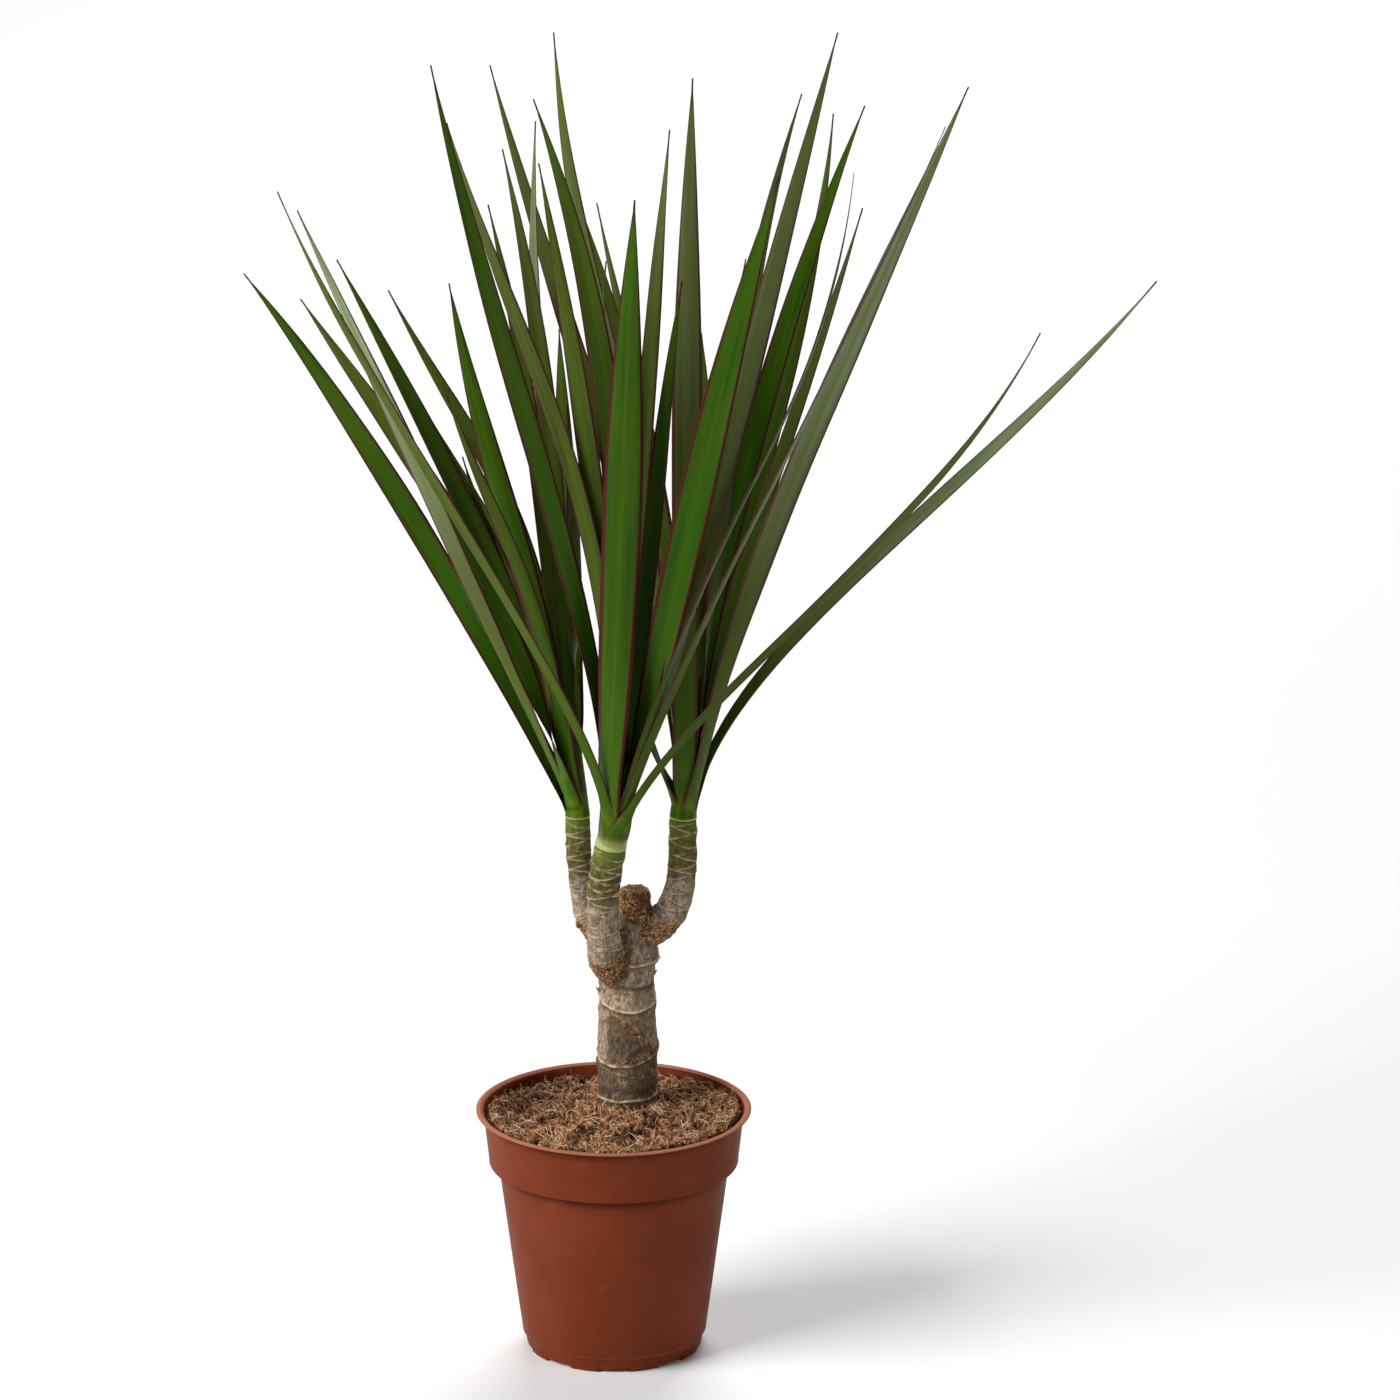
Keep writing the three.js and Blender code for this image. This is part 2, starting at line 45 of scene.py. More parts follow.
camera_data = bpy.data.cameras.new("plant_view")
camera_data.sensor_width = 36
camera_data.lens = 200.8
camera_data.clip_end = 50
camera = bpy.data.objects.new("plant_view", camera_data)
camera.location = (0, -view_distance, view_height)
camera.rotation_euler = (math.pi / 2 - view_down, 0, -view_right)
bpy.context.scene.collection.objects.link(camera)
bpy.context.scene.camera = camera

# ---------------------------------------------------------------- the pot
# A thin nursery pot, moulded in one piece from terracotta-coloured plastic: rolled lip, deep collar that
# ends in a sharp step over the body, and a foot with nine drain notches that stands a hair inside the body.
MM = 0.001
POT_SIDES, CLOSE_PAIR, SAME_TURN = 240, 0.0007, 0.0001
NOTCHES, NOTCH_HALF, NOTCH_HEIGHT, NOTCH_INNER = 9, math.radians(10.5), 1.3, 24
NOTCH_MIDDLES = [2 * math.pi * k / NOTCHES - math.pi / 2 for k in range(NOTCHES)]
DRAIN_RADIUS, DRAIN_CIRCLE, DRAIN_SIDES, FLOOR = 3.5, 31, 24, 2.6
# radius, height and rounding of every corner, from the middle of the underside out, up, over and down
POT_CORNERS = [
    (38.2, 0, 0.5), (39.2, 6.4, 0.12), (40.2, 6.9, 0.35), (50.4, 84.2, 0.8), (54.1, 84.4, 0.2),
    (54.4, 84.9, 0.25), (54.4, 86, 0.5), (56.8, 108, 0.5), (59.9, 108, 0.3), (60, 108.6, 0.3),
    (58.3, 109.2, 0.4), (56.1, 107.7, 0.6), (53.4, 86, 1), (49.2, 85.6, 1), (36.9, FLOOR, 1.2),
]
# painted shade under the collar's step, and the seam over the foot: the heights where each starts, is full,
# starts to fade and is gone
SHADE_UNDER_COLLAR, SEAM_OVER_FOOT = (78.5, 83.4, 84.2, 84.4), (6.0, 6.5, 6.9, 7.4)
# painted shade under the lip (heights where it starts and is full), only beyond the collar's outer radius;
# then the heights where the painted highlight on the lip's top starts and is full
SHADE_UNDER_LIP, COLLAR_SKIN, LIP_HIGHLIGHT = (103, 107.9), (56.2, 56.4), (108.1, 108.5)


def smoothstep(value, low, high):
    share = np.clip((value - low) / (high - low), 0, 1)
    return share * share * (3 - 2 * share)


def rounded(corners, steps=5):
    """The corners of a profile, each turned into a short arc."""
    places = [np.array(corner[:2], float) for corner in corners]
    arc = []
    for i, (_, height, reach) in enumerate(corners):
        here = places[i]
        before = places[i - 1] if i else np.array([0, height])
        after = places[i + 1] if i + 1 < len(places) else np.array([0, height])
        low = here + (before - here) * min(0.45, reach / np.linalg.norm(before - here))
        high = here + (after - here) * min(0.45, reach / np.linalg.norm(after - here))
        for t in np.linspace(0, 1, steps):
            arc.append(tuple((1 - t) ** 2 * low + 2 * t * (1 - t) * here + t * t * high))
    return arc


def tube_faces(rings, sides, first=0):
    """Quads between closed rings of points that follow each other, and a cap on both ends."""
    faces = [tuple(first + s for s in reversed(range(sides)))]
    for low in range(first, first + (rings - 1) * sides, sides):
        for s in range(sides):
            t = (s + 1) % sides
            faces.append((low + s, low + t, low + sides + t, low + sides + s))
    faces.append(tuple(first + (rings - 1) * sides + s for s in range(sides)))
    return faces


def new_piece(name, points, faces, smooth=True):
    """A mesh piece from points in millimetres."""
    mesh = bpy.data.meshes.new(name)
    mesh.from_pydata((np.asarray(points) * MM).tolist(), [], faces)
    mesh.validate()
    mesh.polygons.foreach_set("use_smooth", [smooth] * len(mesh.polygons))
    piece = bpy.data.objects.new(name, mesh)
    bpy.context.scene.collection.objects.link(piece)
    return piece


def work_in(piece):
    """Works a piece's modifiers into its mesh."""
    piece.data = bpy.data.meshes.new_from_object(
        piece.evaluated_get(bpy.context.evaluated_depsgraph_get()))
    piece.modifiers.clear()


def dress(piece, node, material):
    """Puts a finished piece on the plant's one body, in place of the plain solid of that name."""
    piece.data.materials.clear()
    piece.data.materials.append(material)
    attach(piece, "root")
    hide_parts(node)


def pot_turns():
    """Angles round the pot, with a close pair at every side of a notch."""
    turns = list(np.arange(POT_SIDES) * 2 * math.pi / POT_SIDES)
    for middle in NOTCH_MIDDLES:
        for side in (-NOTCH_HALF, NOTCH_HALF):
            turns += [(middle + side + nudge) % (2 * math.pi) for nudge in (-CLOSE_PAIR, CLOSE_PAIR)]
    turns = np.array(sorted(turns))
    return turns[np.append(np.diff(turns) > SAME_TURN, True)]


def drain_bits():
    """Round bars that cut one drain hole behind each notch."""
    points, faces = [], []
    for middle in NOTCH_MIDDLES:
        faces += tube_faces(2, DRAIN_SIDES, len(points))
        for height in (-1, 2 * FLOOR):
            for turn in np.arange(DRAIN_SIDES) * 2 * math.pi / DRAIN_SIDES:
                points.append((DRAIN_CIRCLE * math.cos(middle) + DRAIN_RADIUS * math.cos(turn),
                               DRAIN_CIRCLE * math.sin(middle) + DRAIN_RADIUS * math.sin(turn), height))
    return new_piece("drain_bits", points, faces)


def pot_shell():
    turns = pot_turns()
    from_notch = (turns + math.pi / 2) % (2 * math.pi / NOTCHES)
    from_notch = np.minimum(from_notch, 2 * math.pi / NOTCHES - from_notch)
    notched = np.where(from_notch < NOTCH_HALF, NOTCH_HEIGHT, 0.0)
    profile = [(NOTCH_INNER - 0.1, 0), (NOTCH_INNER, 0), *rounded(POT_CORNERS)]
    points = []
    for i, (radius, height) in enumerate(profile):
        raised = np.maximum(height, notched) if i and height < NOTCH_HEIGHT else np.full(len(turns), height)
        points += list(zip(radius * np.cos(turns), radius * np.sin(turns), raised))
    shell = new_piece("pot_shell", points, tube_faces(len(profile), len(turns)))
    bits = drain_bits()
    cut = shell.modifiers.new("drain", "BOOLEAN")
    cut.object, cut.operation, cut.solver = bits, "DIFFERENCE", "EXACT"
    work_in(shell)
    bpy.data.objects.remove(bits)
    shell.data.set_sharp_from_angle(angle=math.radians(38))
    return shell


def feed(tree, socket, value):
    """Links a socket, or gives it a plain value."""
    if isinstance(value, bpy.types.NodeSocket):
        tree.links.new(value, socket)
    else:
        socket.default_value = value


def wire(tree, kind, values):
    """Adds a node, sets its plain properties and its inputs, and returns it."""
    node = tree.nodes.new(kind)
    for key, value in values.items():
        if isinstance(key, str) and hasattr(node, key):
            setattr(node, key, value)
        else:
            feed(tree, node.inputs[key], value)
    return node


def maths(tree, operation, *values):
    """The outcome of a sum on masks or plain numbers."""
    return wire(tree, "ShaderNodeMath", {"operation": operation, **dict(enumerate(values))}).outputs[0]


def times(tree, a, b):
    """The product of two masks."""
    return maths(tree, "MULTIPLY", a, b)


def ranged(tree, value, low, high, start=0.0, end=1.0, course="SMOOTHSTEP"):
    """A value drawn from the range low to high onto the range start to end."""
    return wire(tree, "ShaderNodeMapRange", {
        "interpolation_type": course, "Value": value, "From Min": low, "From Max": high,
        "To Min": start, "To Max": end}).outputs[0]


def band(tree, value, start, full, fading, gone):
    """1 from full to fading, given in millimetres as the others are, and 0 outside start and gone."""
    rises, falls = ranged(tree, value, start * MM, full * MM), ranged(tree, value, gone * MM, fading * MM)
    return times(tree, rises, falls)


def pattern(name, size, shape, drawn_out):
    """A shader group of soft noise: its mask over the range From to To, and the noise as it comes.
    Drawn out, the noise runs in fine lines along the vector's Z."""
    group = bpy.data.node_groups.new(name, "ShaderNodeTree")
    for label in ("Vector", size, shape, "From", "To"):
        kind = "NodeSocketVector" if label == "Vector" else "NodeSocketFloat"
        group.interface.new_socket(name=label, in_out="INPUT", socket_type=kind)
    for label in ("Mask", "Raw"):
        group.interface.new_socket(name=label, in_out="OUTPUT", socket_type="NodeSocketFloat")
    given, end = group.nodes.new("NodeGroupInput").outputs, group.nodes.new("NodeGroupOutput").inputs
    vector, detail = given["Vector"], given[shape]
    if drawn_out:
        squeeze = maths(group, "DIVIDE", 1.0, given[shape])
        scale = wire(group, "ShaderNodeCombineXYZ", {0: 1.0, 1: 1.0, 2: squeeze})
        vector = wire(group, "ShaderNodeVectorMath", {
            "operation": "MULTIPLY", 0: vector, 1: scale.outputs[0]}).outputs[0]
        detail = 2.0
    raw = wire(group, "ShaderNodeTexNoise", {
        "Vector": vector, "Scale": given[size], "Detail": detail}).outputs[0]
    group.links.new(ranged(group, raw, given["From"], given["To"]), end["Mask"])
    group.links.new(raw, end["Raw"])
    return group


SPECKLE = pattern("speckle", "Spots per metre", "Detail", False)
STREAKS = pattern("streaks", "Lines per metre", "Stretch", True)


def use(tree, group, *values):
    """Places a pattern with its vector, spots or lines per metre, detail or stretch, and range."""
    node = tree.nodes.new("ShaderNodeGroup")
    node.node_tree = group
    for socket, value in zip(node.inputs, values):
        feed(tree, socket, value)
    return node.outputs


def spotted(tree, *values):
    """The mask of irregular spots: 0 between them and 1 on them."""
    return use(tree, SPECKLE, *values)["Mask"]


def lined(tree, *values):
    """The mask of fine lines, such as grain."""
    return use(tree, STREAKS, *values)["Mask"]


def blend_colour(tree, mask, low, high):
    """The colour low where the mask is 0 and high where it is 1."""
    mix = tree.nodes.new("ShaderNodeMix")
    mix.data_type = "RGBA"
    ends = {socket.identifier: socket for socket in mix.inputs}
    feed(tree, ends["Factor_Float"], mask)
    for key, value in (("A_Color", low), ("B_Color", high)):
        feed(tree, ends[key], (*value, 1) if isinstance(value, tuple) else value)
    return next(socket for socket in mix.outputs if socket.identifier == "Result_Color")


def coats(tree, colour, *layers):
    """The colour under thin coats, each with its mask, its strength and its own colour."""
    for mask, strength, tint in layers:
        colour = blend_colour(tree, times(tree, mask, strength), colour, tint)
    return colour


def colour_ramp(tree, value, *stops):
    """The colour at a value from 0 to 1, between stops that each give a place and a colour."""
    ramp = tree.nodes.new("ShaderNodeValToRGB")
    scale = ramp.color_ramp.elements
    scale.remove(scale[1])
    for k, (place, colour) in enumerate(stops):
        stop = scale.new(place) if k else scale[0]
        stop.position, stop.color = place, (*colour, 1)
    tree.links.new(value, ramp.inputs[0])
    return ramp.outputs[0]


def new_material(name, roughness, specular):
    """A material with its Principled shader, and where its points lie in metres."""
    material = bpy.data.materials.new(name)
    material.use_nodes = True
    tree = material.node_tree
    shader = tree.nodes["Principled BSDF"].inputs
    shader["Roughness"].default_value = roughness
    shader["Specular IOR Level"].default_value = specular
    where = tree.nodes.new("ShaderNodeTexCoord").outputs["Object"]
    return material, tree, shader, where


def relief(tree, shader, height, depth, strength):
    """Fine relief, from a height that runs from 0 to 1 and its depth in metres."""
    bump = wire(tree, "ShaderNodeBump", {"Strength": strength, "Distance": depth, "Height": height})
    tree.links.new(bump.outputs[0], shader["Normal"])


def pot_plastic():
    material, tree, shader, where = new_material("terracotta_plastic", 0.5, 0.05)
    grit, dust = use(tree, SPECKLE, where, 1500, 2, 0.5, 0.75), use(tree, SPECKLE, where, 90, 6, 0.55, 0.78)
    high = wire(tree, "ShaderNodeSeparateXYZ", {0: where}).outputs[2]
    flat = wire(tree, "ShaderNodeVectorMath", {"operation": "MULTIPLY", 0: where, 1: (1, 1, 0)}).outputs[0]
    radius = wire(tree, "ShaderNodeVectorMath", {"operation": "LENGTH", 0: flat}).outputs[1]
    lip_shadow, on_collar, lip_highlight = (
        ranged(tree, value, low * MM, full * MM)
        for value, (low, full) in ((high, SHADE_UNDER_LIP), (radius, COLLAR_SKIN), (high, LIP_HIGHLIGHT)))
    cloud = spotted(tree, where, 28, 5, 0.35, 0.7)
    colour = coats(
        tree, blend_colour(tree, cloud, (0.142, 0.0268, 0.0088), (0.163, 0.0325, 0.0112)),
        (grit["Mask"], 0.35, (0.19, 0.044, 0.018)),
        # painted shade on the body just under the collar's step
        (band(tree, high, *SHADE_UNDER_COLLAR), 0.75, (0.045, 0.006, 0.002)),
        # painted shade under the lip, on the outside of the collar only
        (times(tree, lip_shadow, on_collar), 0.75, (0.06, 0.009, 0.003)),
        (band(tree, high, *SEAM_OVER_FOOT), 0.5, (0.3, 0.1, 0.05)),
        # painted highlight along the lip's top
        (lip_highlight, 0.66, (0.5, 0.19, 0.105)),
        (dust["Mask"], 0.22, (0.19, 0.07, 0.036)),
        (lined(tree, where, 420, 18, 0.62, 0.78), 0.2, (0.18, 0.048, 0.022)))
    tree.links.new(colour, shader["Base Color"])
    tree.links.new(ranged(tree, dust["Raw"], 0.3, 0.8, 0.46, 0.6, "LINEAR"), shader["Roughness"])
    relief(tree, shader, grit["Raw"], 0.06 * MM, 0.5)
    return material


dress(pot_shell(), "pot", pot_plastic())

# ---------------------------------------------------------------- the potting mix
# Coir and peat pressed into the pot round the cane: a lumpy bed with dark pits, crumbs of pith on it,
# and long pale fibres that lie across each other, with a few standing up and some against the cane.
CANE_X, CANE_Y, CANE_HOLE, HOLE_FOOT = 6.0, 15.0, 12.2, 59.7
BED_TURNS, BED_RINGS, BED_RIM, BED_FOOT, PLAY = 330, 62, 105.5, 3.1, 0.3
BED_EDGE, MOUND, MOUND_SPREAD, BANK, BANK_SLOPE, BANK_DIP = 101.9, 6, 26, 6.0, 0.012, 4.2
# where the bank dips, from front to back, and where it rises, from the middle out
BANK_BACK, BANK_RIM = (5, 40), (38, 54)
# waves of the bed: turns per mm in X and Y in radians, the start of each wave and its size
BED_WAVES = ((0.31, 0.27, 0.9, 0.25), (0.31, -0.27, 1.7, 0.25), (0.53, -0.41, 0, 0.35))
PIT_DEPTH, PITS, SETTLED = 3.2, (0.15, 0.6), 0.4
FIBRE_STEPS, FIBRE_SIDES, FIBRE_RISE, CANE_CLEAR, WALL_CLEAR = 9, 4, 0.3, 0.7, 0.8
FROM_CANE, STANDING = (1.0, 2.6), (1.5, 5)
SCATTER, SCATTER_RIM, FIBRE_RIM = 56, 105.0, 102.0
CRUMB_LEAST, CRUMB_MORE, CRUMB_RARITY, CRUMB_UNEVEN = 0.45, 1.15, 2.2, 0.28
# the dark of damp peat, which also paints the shadow over the right of the mix, and the colour of pith
PEAT_AND_SHADE, PITH = (0.03, 0.014, 0.008), (0.13, 0.05, 0.018)
rng = np.random.default_rng(41)


def rough(points, size, seed, octaves=4):
    """Soft noise from -1 to 1 at each point, with lumps of that size in millimetres."""
    shift = Vector((seed * 7.3, seed * 3.1, seed * 5.7))
    return np.array([noise.fractal(Vector(p) / size + shift, 0.9, 2.0, octaves) for p in points])


def bed_height(x, y):
    """Top of the pressed mix, which mounds up round the cane and is banked against the pot."""
    mound = MOUND * np.exp(-((np.hypot(x - CANE_X, y - CANE_Y) / MOUND_SPREAD) ** 2))
    waves = sum(size * np.sin(a * x + b * y + start) for a, b, start, size in BED_WAVES)
    bank = BANK + BANK_SLOPE * x - BANK_DIP * smoothstep(y, *BANK_BACK)
    return BED_EDGE + mound + waves + bank * smoothstep(np.hypot(x, y), *BANK_RIM)


def inner_radius(height):
    """How far out the mix may reach at a height, just clear of the pot's inside."""
    radii, heights, _ = zip(*reversed(POT_CORNERS[-4:]))
    return np.interp(height, heights, radii) - PLAY


LUMP_GRID = np.linspace(-57, 57, 230)
lump_spots = np.stack(np.meshgrid(LUMP_GRID, LUMP_GRID, [0.0], indexing="ij"), -1).reshape(-1, 3)
LUMPS = (1.4 * rough(lump_spots, 7.0, 1) + 0.8 * rough(lump_spots, 2.2, 2)
         - PIT_DEPTH * smoothstep(rough(lump_spots, 5.0, 3), *PITS)).reshape(len(LUMP_GRID), len(LUMP_GRID))


def surface_height(x, y):
    """Top of the mix with its lumps and pits."""
    step = LUMP_GRID[1] - LUMP_GRID[0]
    column, row = (np.clip((v - LUMP_GRID[0]) / step, 0, len(LUMP_GRID) - 1.001) for v in (x, y))
    i, j = np.floor(column).astype(int), np.floor(row).astype(int)
    u, v = column - i, row - j
    lump = (LUMPS[i, j] * (1 - u) * (1 - v) + LUMPS[i + 1, j] * u * (1 - v)
            + LUMPS[i, j + 1] * (1 - u) * v + LUMPS[i + 1, j + 1] * u * v)
    return bed_height(x, y) + lump - SETTLED


def soil_bed():
    """The mix as one solid: from the foot of its hole up, over the top, down the wall and under."""
    turns = np.arange(BED_TURNS) * 2 * math.pi / BED_TURNS
    ways = np.stack([np.cos(turns), np.sin(turns)], 1)
    cane, level = np.array([CANE_X, CANE_Y]), np.ones(BED_TURNS)
    along = ways @ cane
    reach = -along + np.sqrt(along ** 2 - cane @ cane + inner_radius(BED_RIM) ** 2)
    rings = [np.c_[cane + ways * CANE_HOLE, HOLE_FOOT * level]]
    for share in np.linspace(0, 1, BED_RINGS):
        flat = cane + ways * (CANE_HOLE + (reach - CANE_HOLE) * share)[:, None]
        rings.append(np.c_[flat, surface_height(*flat.T)])
    outward = cane + ways * reach[:, None]
    outward /= np.linalg.norm(outward, axis=1)[:, None]
    for height, inset in ((92, 0.4), (86.4, 0.4), (85.4, 0.4), (40, 0.4), (BED_FOOT, 1.5)):
        rings.append(np.c_[outward * (inner_radius(height) - inset), height * level])
    rings.append(np.c_[cane * 0.4 + ways * 4, BED_FOOT * level])
    faces = [tuple(reversed(face)) for face in tube_faces(len(rings), BED_TURNS)]
    return new_piece("potting_mix", np.concatenate(rings), faces)


def put_values(piece, name, values):
    """Gives each point of a piece its own value, for the material."""
    layer = piece.data.attributes.new(name, "FLOAT", "POINT")
    layer.data.foreach_set("value", np.asarray(values, np.float32))


def fibre_mesh(paths, radii):
    """Thin round fibres, each along its own points, drawn out to fine ends."""
    points, faces = [], []
    for number, (path, radius) in enumerate(zip(paths, radii)):
        way = np.gradient(path, axis=0)
        way /= np.linalg.norm(way, axis=1)[:, None] + 1e-9
        side = np.cross(way, [0.13, 0.21, 0.97])
        side /= np.linalg.norm(side, axis=1)[:, None] + 1e-9
        back = np.cross(way, side)
        thick = radius * (1 - 0.75 * np.abs(np.linspace(-1, 1, FIBRE_STEPS)) ** 3)[:, None]
        turns = np.arange(FIBRE_SIDES) * 2 * math.pi / FIBRE_SIDES
        corners = [path + thick * (side * math.cos(turn) + back * math.sin(turn)) for turn in turns]
        points.append(np.stack(corners, 1).reshape(-1, 3))
        faces += tube_faces(FIBRE_STEPS, FIBRE_SIDES, number * FIBRE_STEPS * FIBRE_SIDES)
    return np.concatenate(points), faces


def bed_spot():
    """A random place on the mix, clear of the cane."""
    while True:
        x, y = rng.uniform(-SCATTER, SCATTER, 2)
        in_pot = math.hypot(x, y) < inner_radius(SCATTER_RIM) - 0.1
        if in_pot and math.hypot(x - CANE_X, y - CANE_Y) > CANE_HOLE + 0.8:
            return np.array([x, y])


def fibre_path(length, lift, stand, curl, at_cane):
    """One fibre on the mix: it wanders, arches by lift and may stand up at its end."""
    place, turn = bed_spot(), rng.uniform(0, 2 * math.pi)
    if at_cane:
        round_cane = rng.uniform(0, 2 * math.pi)
        away = CANE_HOLE + rng.uniform(*FROM_CANE)
        place = np.array([CANE_X + away * math.cos(round_cane), CANE_Y + away * math.sin(round_cane)])
        turn = round_cane + math.pi / 2
    bend = rng.normal(0, curl)
    step = length / (FIBRE_STEPS - 1)
    widest = inner_radius(FIBRE_RIM) - WALL_CLEAR
    path = []
    for share in np.linspace(0, 1, FIBRE_STEPS):
        arch = lift * math.sin(math.pi * share) + stand * share ** 2
        path.append([*place, surface_height(*place) + FIBRE_RISE + arch])
        turn += bend * 0.5 + rng.normal(0, 0.8 * curl)
        ahead = place + step * np.array([math.cos(turn), math.sin(turn)])
        hits_cane = math.hypot(ahead[0] - CANE_X, ahead[1] - CANE_Y) < CANE_HOLE + CANE_CLEAR
        if np.linalg.norm(ahead) > widest or hits_cane:
            turn += math.pi / 2
            ahead = place + 0.3 * step * np.array([math.cos(turn), math.sin(turn)])
            if np.linalg.norm(ahead) > widest + 0.2:
                ahead = ahead * widest / np.linalg.norm(ahead)
        place = ahead
    return np.array(path)


def coir_fibres(name, count, length, radius, lift, stand_share, curl, cane_share):
    paths, radii, tints = [], [], []
    for _ in range(count):
        long = rng.uniform(*length)
        stands = rng.uniform(*STANDING) if rng.random() < stand_share else 0
        at_cane = rng.random() < cane_share
        paths.append(fibre_path(long, rng.uniform(*lift), stands, curl, at_cane))
        radii.append(rng.uniform(*radius))
        tints.append(rng.random())
    piece = new_piece(name, *fibre_mesh(paths, radii))
    put_values(piece, "tint", np.repeat(tints, FIBRE_STEPS * FIBRE_SIDES))
    return piece


# a crumb before it is squashed: two points and two rings of five between them
CRUMB = np.array([(0, 0, 1)] + [
    (math.cos(a) * math.cos(b), math.sin(a) * math.cos(b), math.sin(b))
    for b, turn in ((0.46, 0), (-0.46, math.pi / 5)) for a in np.arange(5) * 2 * math.pi / 5 + turn
] + [(0, 0, -1)])
CRUMB_FACES = []
for corner in range(5):
    high, ahead, low, low_ahead = 1 + corner, 1 + (corner + 1) % 5, 6 + corner, 6 + (corner + 1) % 5
    CRUMB_FACES += [(0, high, ahead), (high, low, ahead), (low, low_ahead, ahead), (11, low_ahead, low)]


def coir_crumbs(count):
    points, faces, tints = [], [], []
    for number in range(count):
        place = bed_spot()
        size = CRUMB_LEAST + CRUMB_MORE * rng.random() ** CRUMB_RARITY
        tumbled, _ = np.linalg.qr(rng.normal(size=(3, 3)))
        lump = CRUMB * (1 + rng.uniform(-CRUMB_UNEVEN, CRUMB_UNEVEN, (len(CRUMB), 1))) * size
        lump = lump * [1, rng.uniform(0.5, 1), 0.6]
        points.append(lump @ tumbled.T + [*place, surface_height(*place) + rng.uniform(-0.3, 0.7)])
        faces += [tuple(len(CRUMB) * number + k for k in face) for face in CRUMB_FACES]
        tints.append(rng.random())
    piece = new_piece("coir_crumbs", np.concatenate(points), faces, smooth=False)
    put_values(piece, "tint", np.repeat(tints, len(CRUMB)))
    return piece


def carried(tree, *labels):
    """The values that the mesh carries at each of its points."""
    return [wire(tree, "ShaderNodeAttribute", {"attribute_name": label}).outputs["Fac"] for label in labels]


def peat_clumps_and_shade(tree, where, colour):
    """The colour with dark clumps of damp peat, darker towards the back on the left, and painted shadow on
    the right.
    """
    place = wire(tree, "ShaderNodeSeparateXYZ", {0: where}).outputs
    behind = times(tree, ranged(tree, place[0], 0.0, -0.04), ranged(tree, place[1], -0.02, 0.02))
    dark = maths(tree, "MAXIMUM", spotted(tree, where, 95, 4, 0.5, 0.66), times(tree, behind, 0.7))
    # painted shadow over the right side of the mix
    dark = maths(tree, "MAXIMUM", dark, ranged(tree, place[0], 0.008, 0.04, 0.0, 0.32))
    return coats(tree, colour, (dark, 0.85, PEAT_AND_SHADE))


def mix_material():
    material, tree, shader, where = new_material("coir_and_peat", 0.95, 0.15)
    lumps = use(tree, SPECKLE, where, 260, 8, 0.38, 0.62)
    colour = coats(
        tree, blend_colour(tree, lumps["Mask"], (0.014, 0.0055, 0.0025), (0.13, 0.047, 0.018)),
        (lined(tree, where, 1100, 0.3, 0.5, 0.7), 0.6, (0.24, 0.115, 0.048)))
    tree.links.new(peat_clumps_and_shade(tree, where, colour), shader["Base Color"])
    relief(tree, shader, lumps["Raw"], 1.2 * MM, 0.9)
    return material


def fibre_material(name, *browns):
    material, tree, shader, where = new_material(name, 0.85, 0.08)
    patch = use(tree, SPECKLE, where, 700, 3, 0.4, 0.65)
    tinted = colour_ramp(tree, carried(tree, "tint")[0], *browns)
    colour = coats(tree, tinted, (patch["Mask"], 0.4, PITH))
    tree.links.new(peat_clumps_and_shade(tree, where, colour), shader["Base Color"])
    relief(tree, shader, patch["Raw"], 0.2 * MM, 0.6)
    return material


fibre_brown = fibre_material(
    "coir_fibre", (0.0, (0.09, 0.033, 0.014)), (0.36, (0.5, 0.222, 0.105)), (0.68, (0.85, 0.48, 0.25)),
    (0.92, (1.0, 0.76, 0.5)))
crumb_brown = fibre_material(
    "coir_pith", (0.0, (0.06, 0.022, 0.009)), (0.6, (0.43, 0.15, 0.05)), (1.0, (0.7, 0.34, 0.16)))
dress(soil_bed(), "soil", mix_material())
dress(coir_fibres("coir_threads", 6200, (2.5, 9), (0.09, 0.19), (0.0, 1.2), 0.14, 0.75, 0.05),
      "soil", fibre_brown)
dress(coir_fibres("coir_fibres", 700, (8, 22), (0.13, 0.25), (0.3, 1.8), 0.16, 0.4, 0.12),
      "soil", fibre_brown)
dress(coir_crumbs(3400), "soil", crumb_brown)

# ---------------------------------------------------------------- the cane and its shoots
# One thick cane, cut off at the top and callused over with cork, with three shoots that broke out below
# the cut. Each leaf that fell left a scar, which runs round the stem as a thin pale ledge (on the cane now
# and then a dark line) with painted shadow under it.
STEM_ROUTES = {
    "left": ([(2, 17, 177), (-5, 19, 182), (-10.4, 21, 190), (-13.2, 22.5, 202), (-14.8, 24, 218),
              (-15.2, 24, 234)], [7, 6.6, 5.9, 5.3, 5.4, 5.4]),
    "front": ([(2, 9, 168), (-2.6, 3.5, 175), (-4.2, 0, 190), (-4.5, -2.5, 204), (-3, -5, 219),
               (-1, -6.5, 230.5)], [7.6, 8, 6.9, 6.9, 6.9, 6.9]),
    "right": ([(6, 15, 178), (14, 14.5, 184), (21.5, 13.5, 189.5), (26.8, 12, 199), (29.6, 11, 212),
               (30.4, 10, 238)], [8, 7.4, 6.9, 6.3, 6, 5.9]),
    "stub": ([(8, 15, 172), (9.2, 15, 190), (9.6, 15, 204.5)], [12, 8.5, 6.9]),
    "cane": ([(6, 15, 60), (6, 15, 100), (6, 15, 150), (6, 15, 188)], [12.9, 12.7, 12.5, 12]),
}
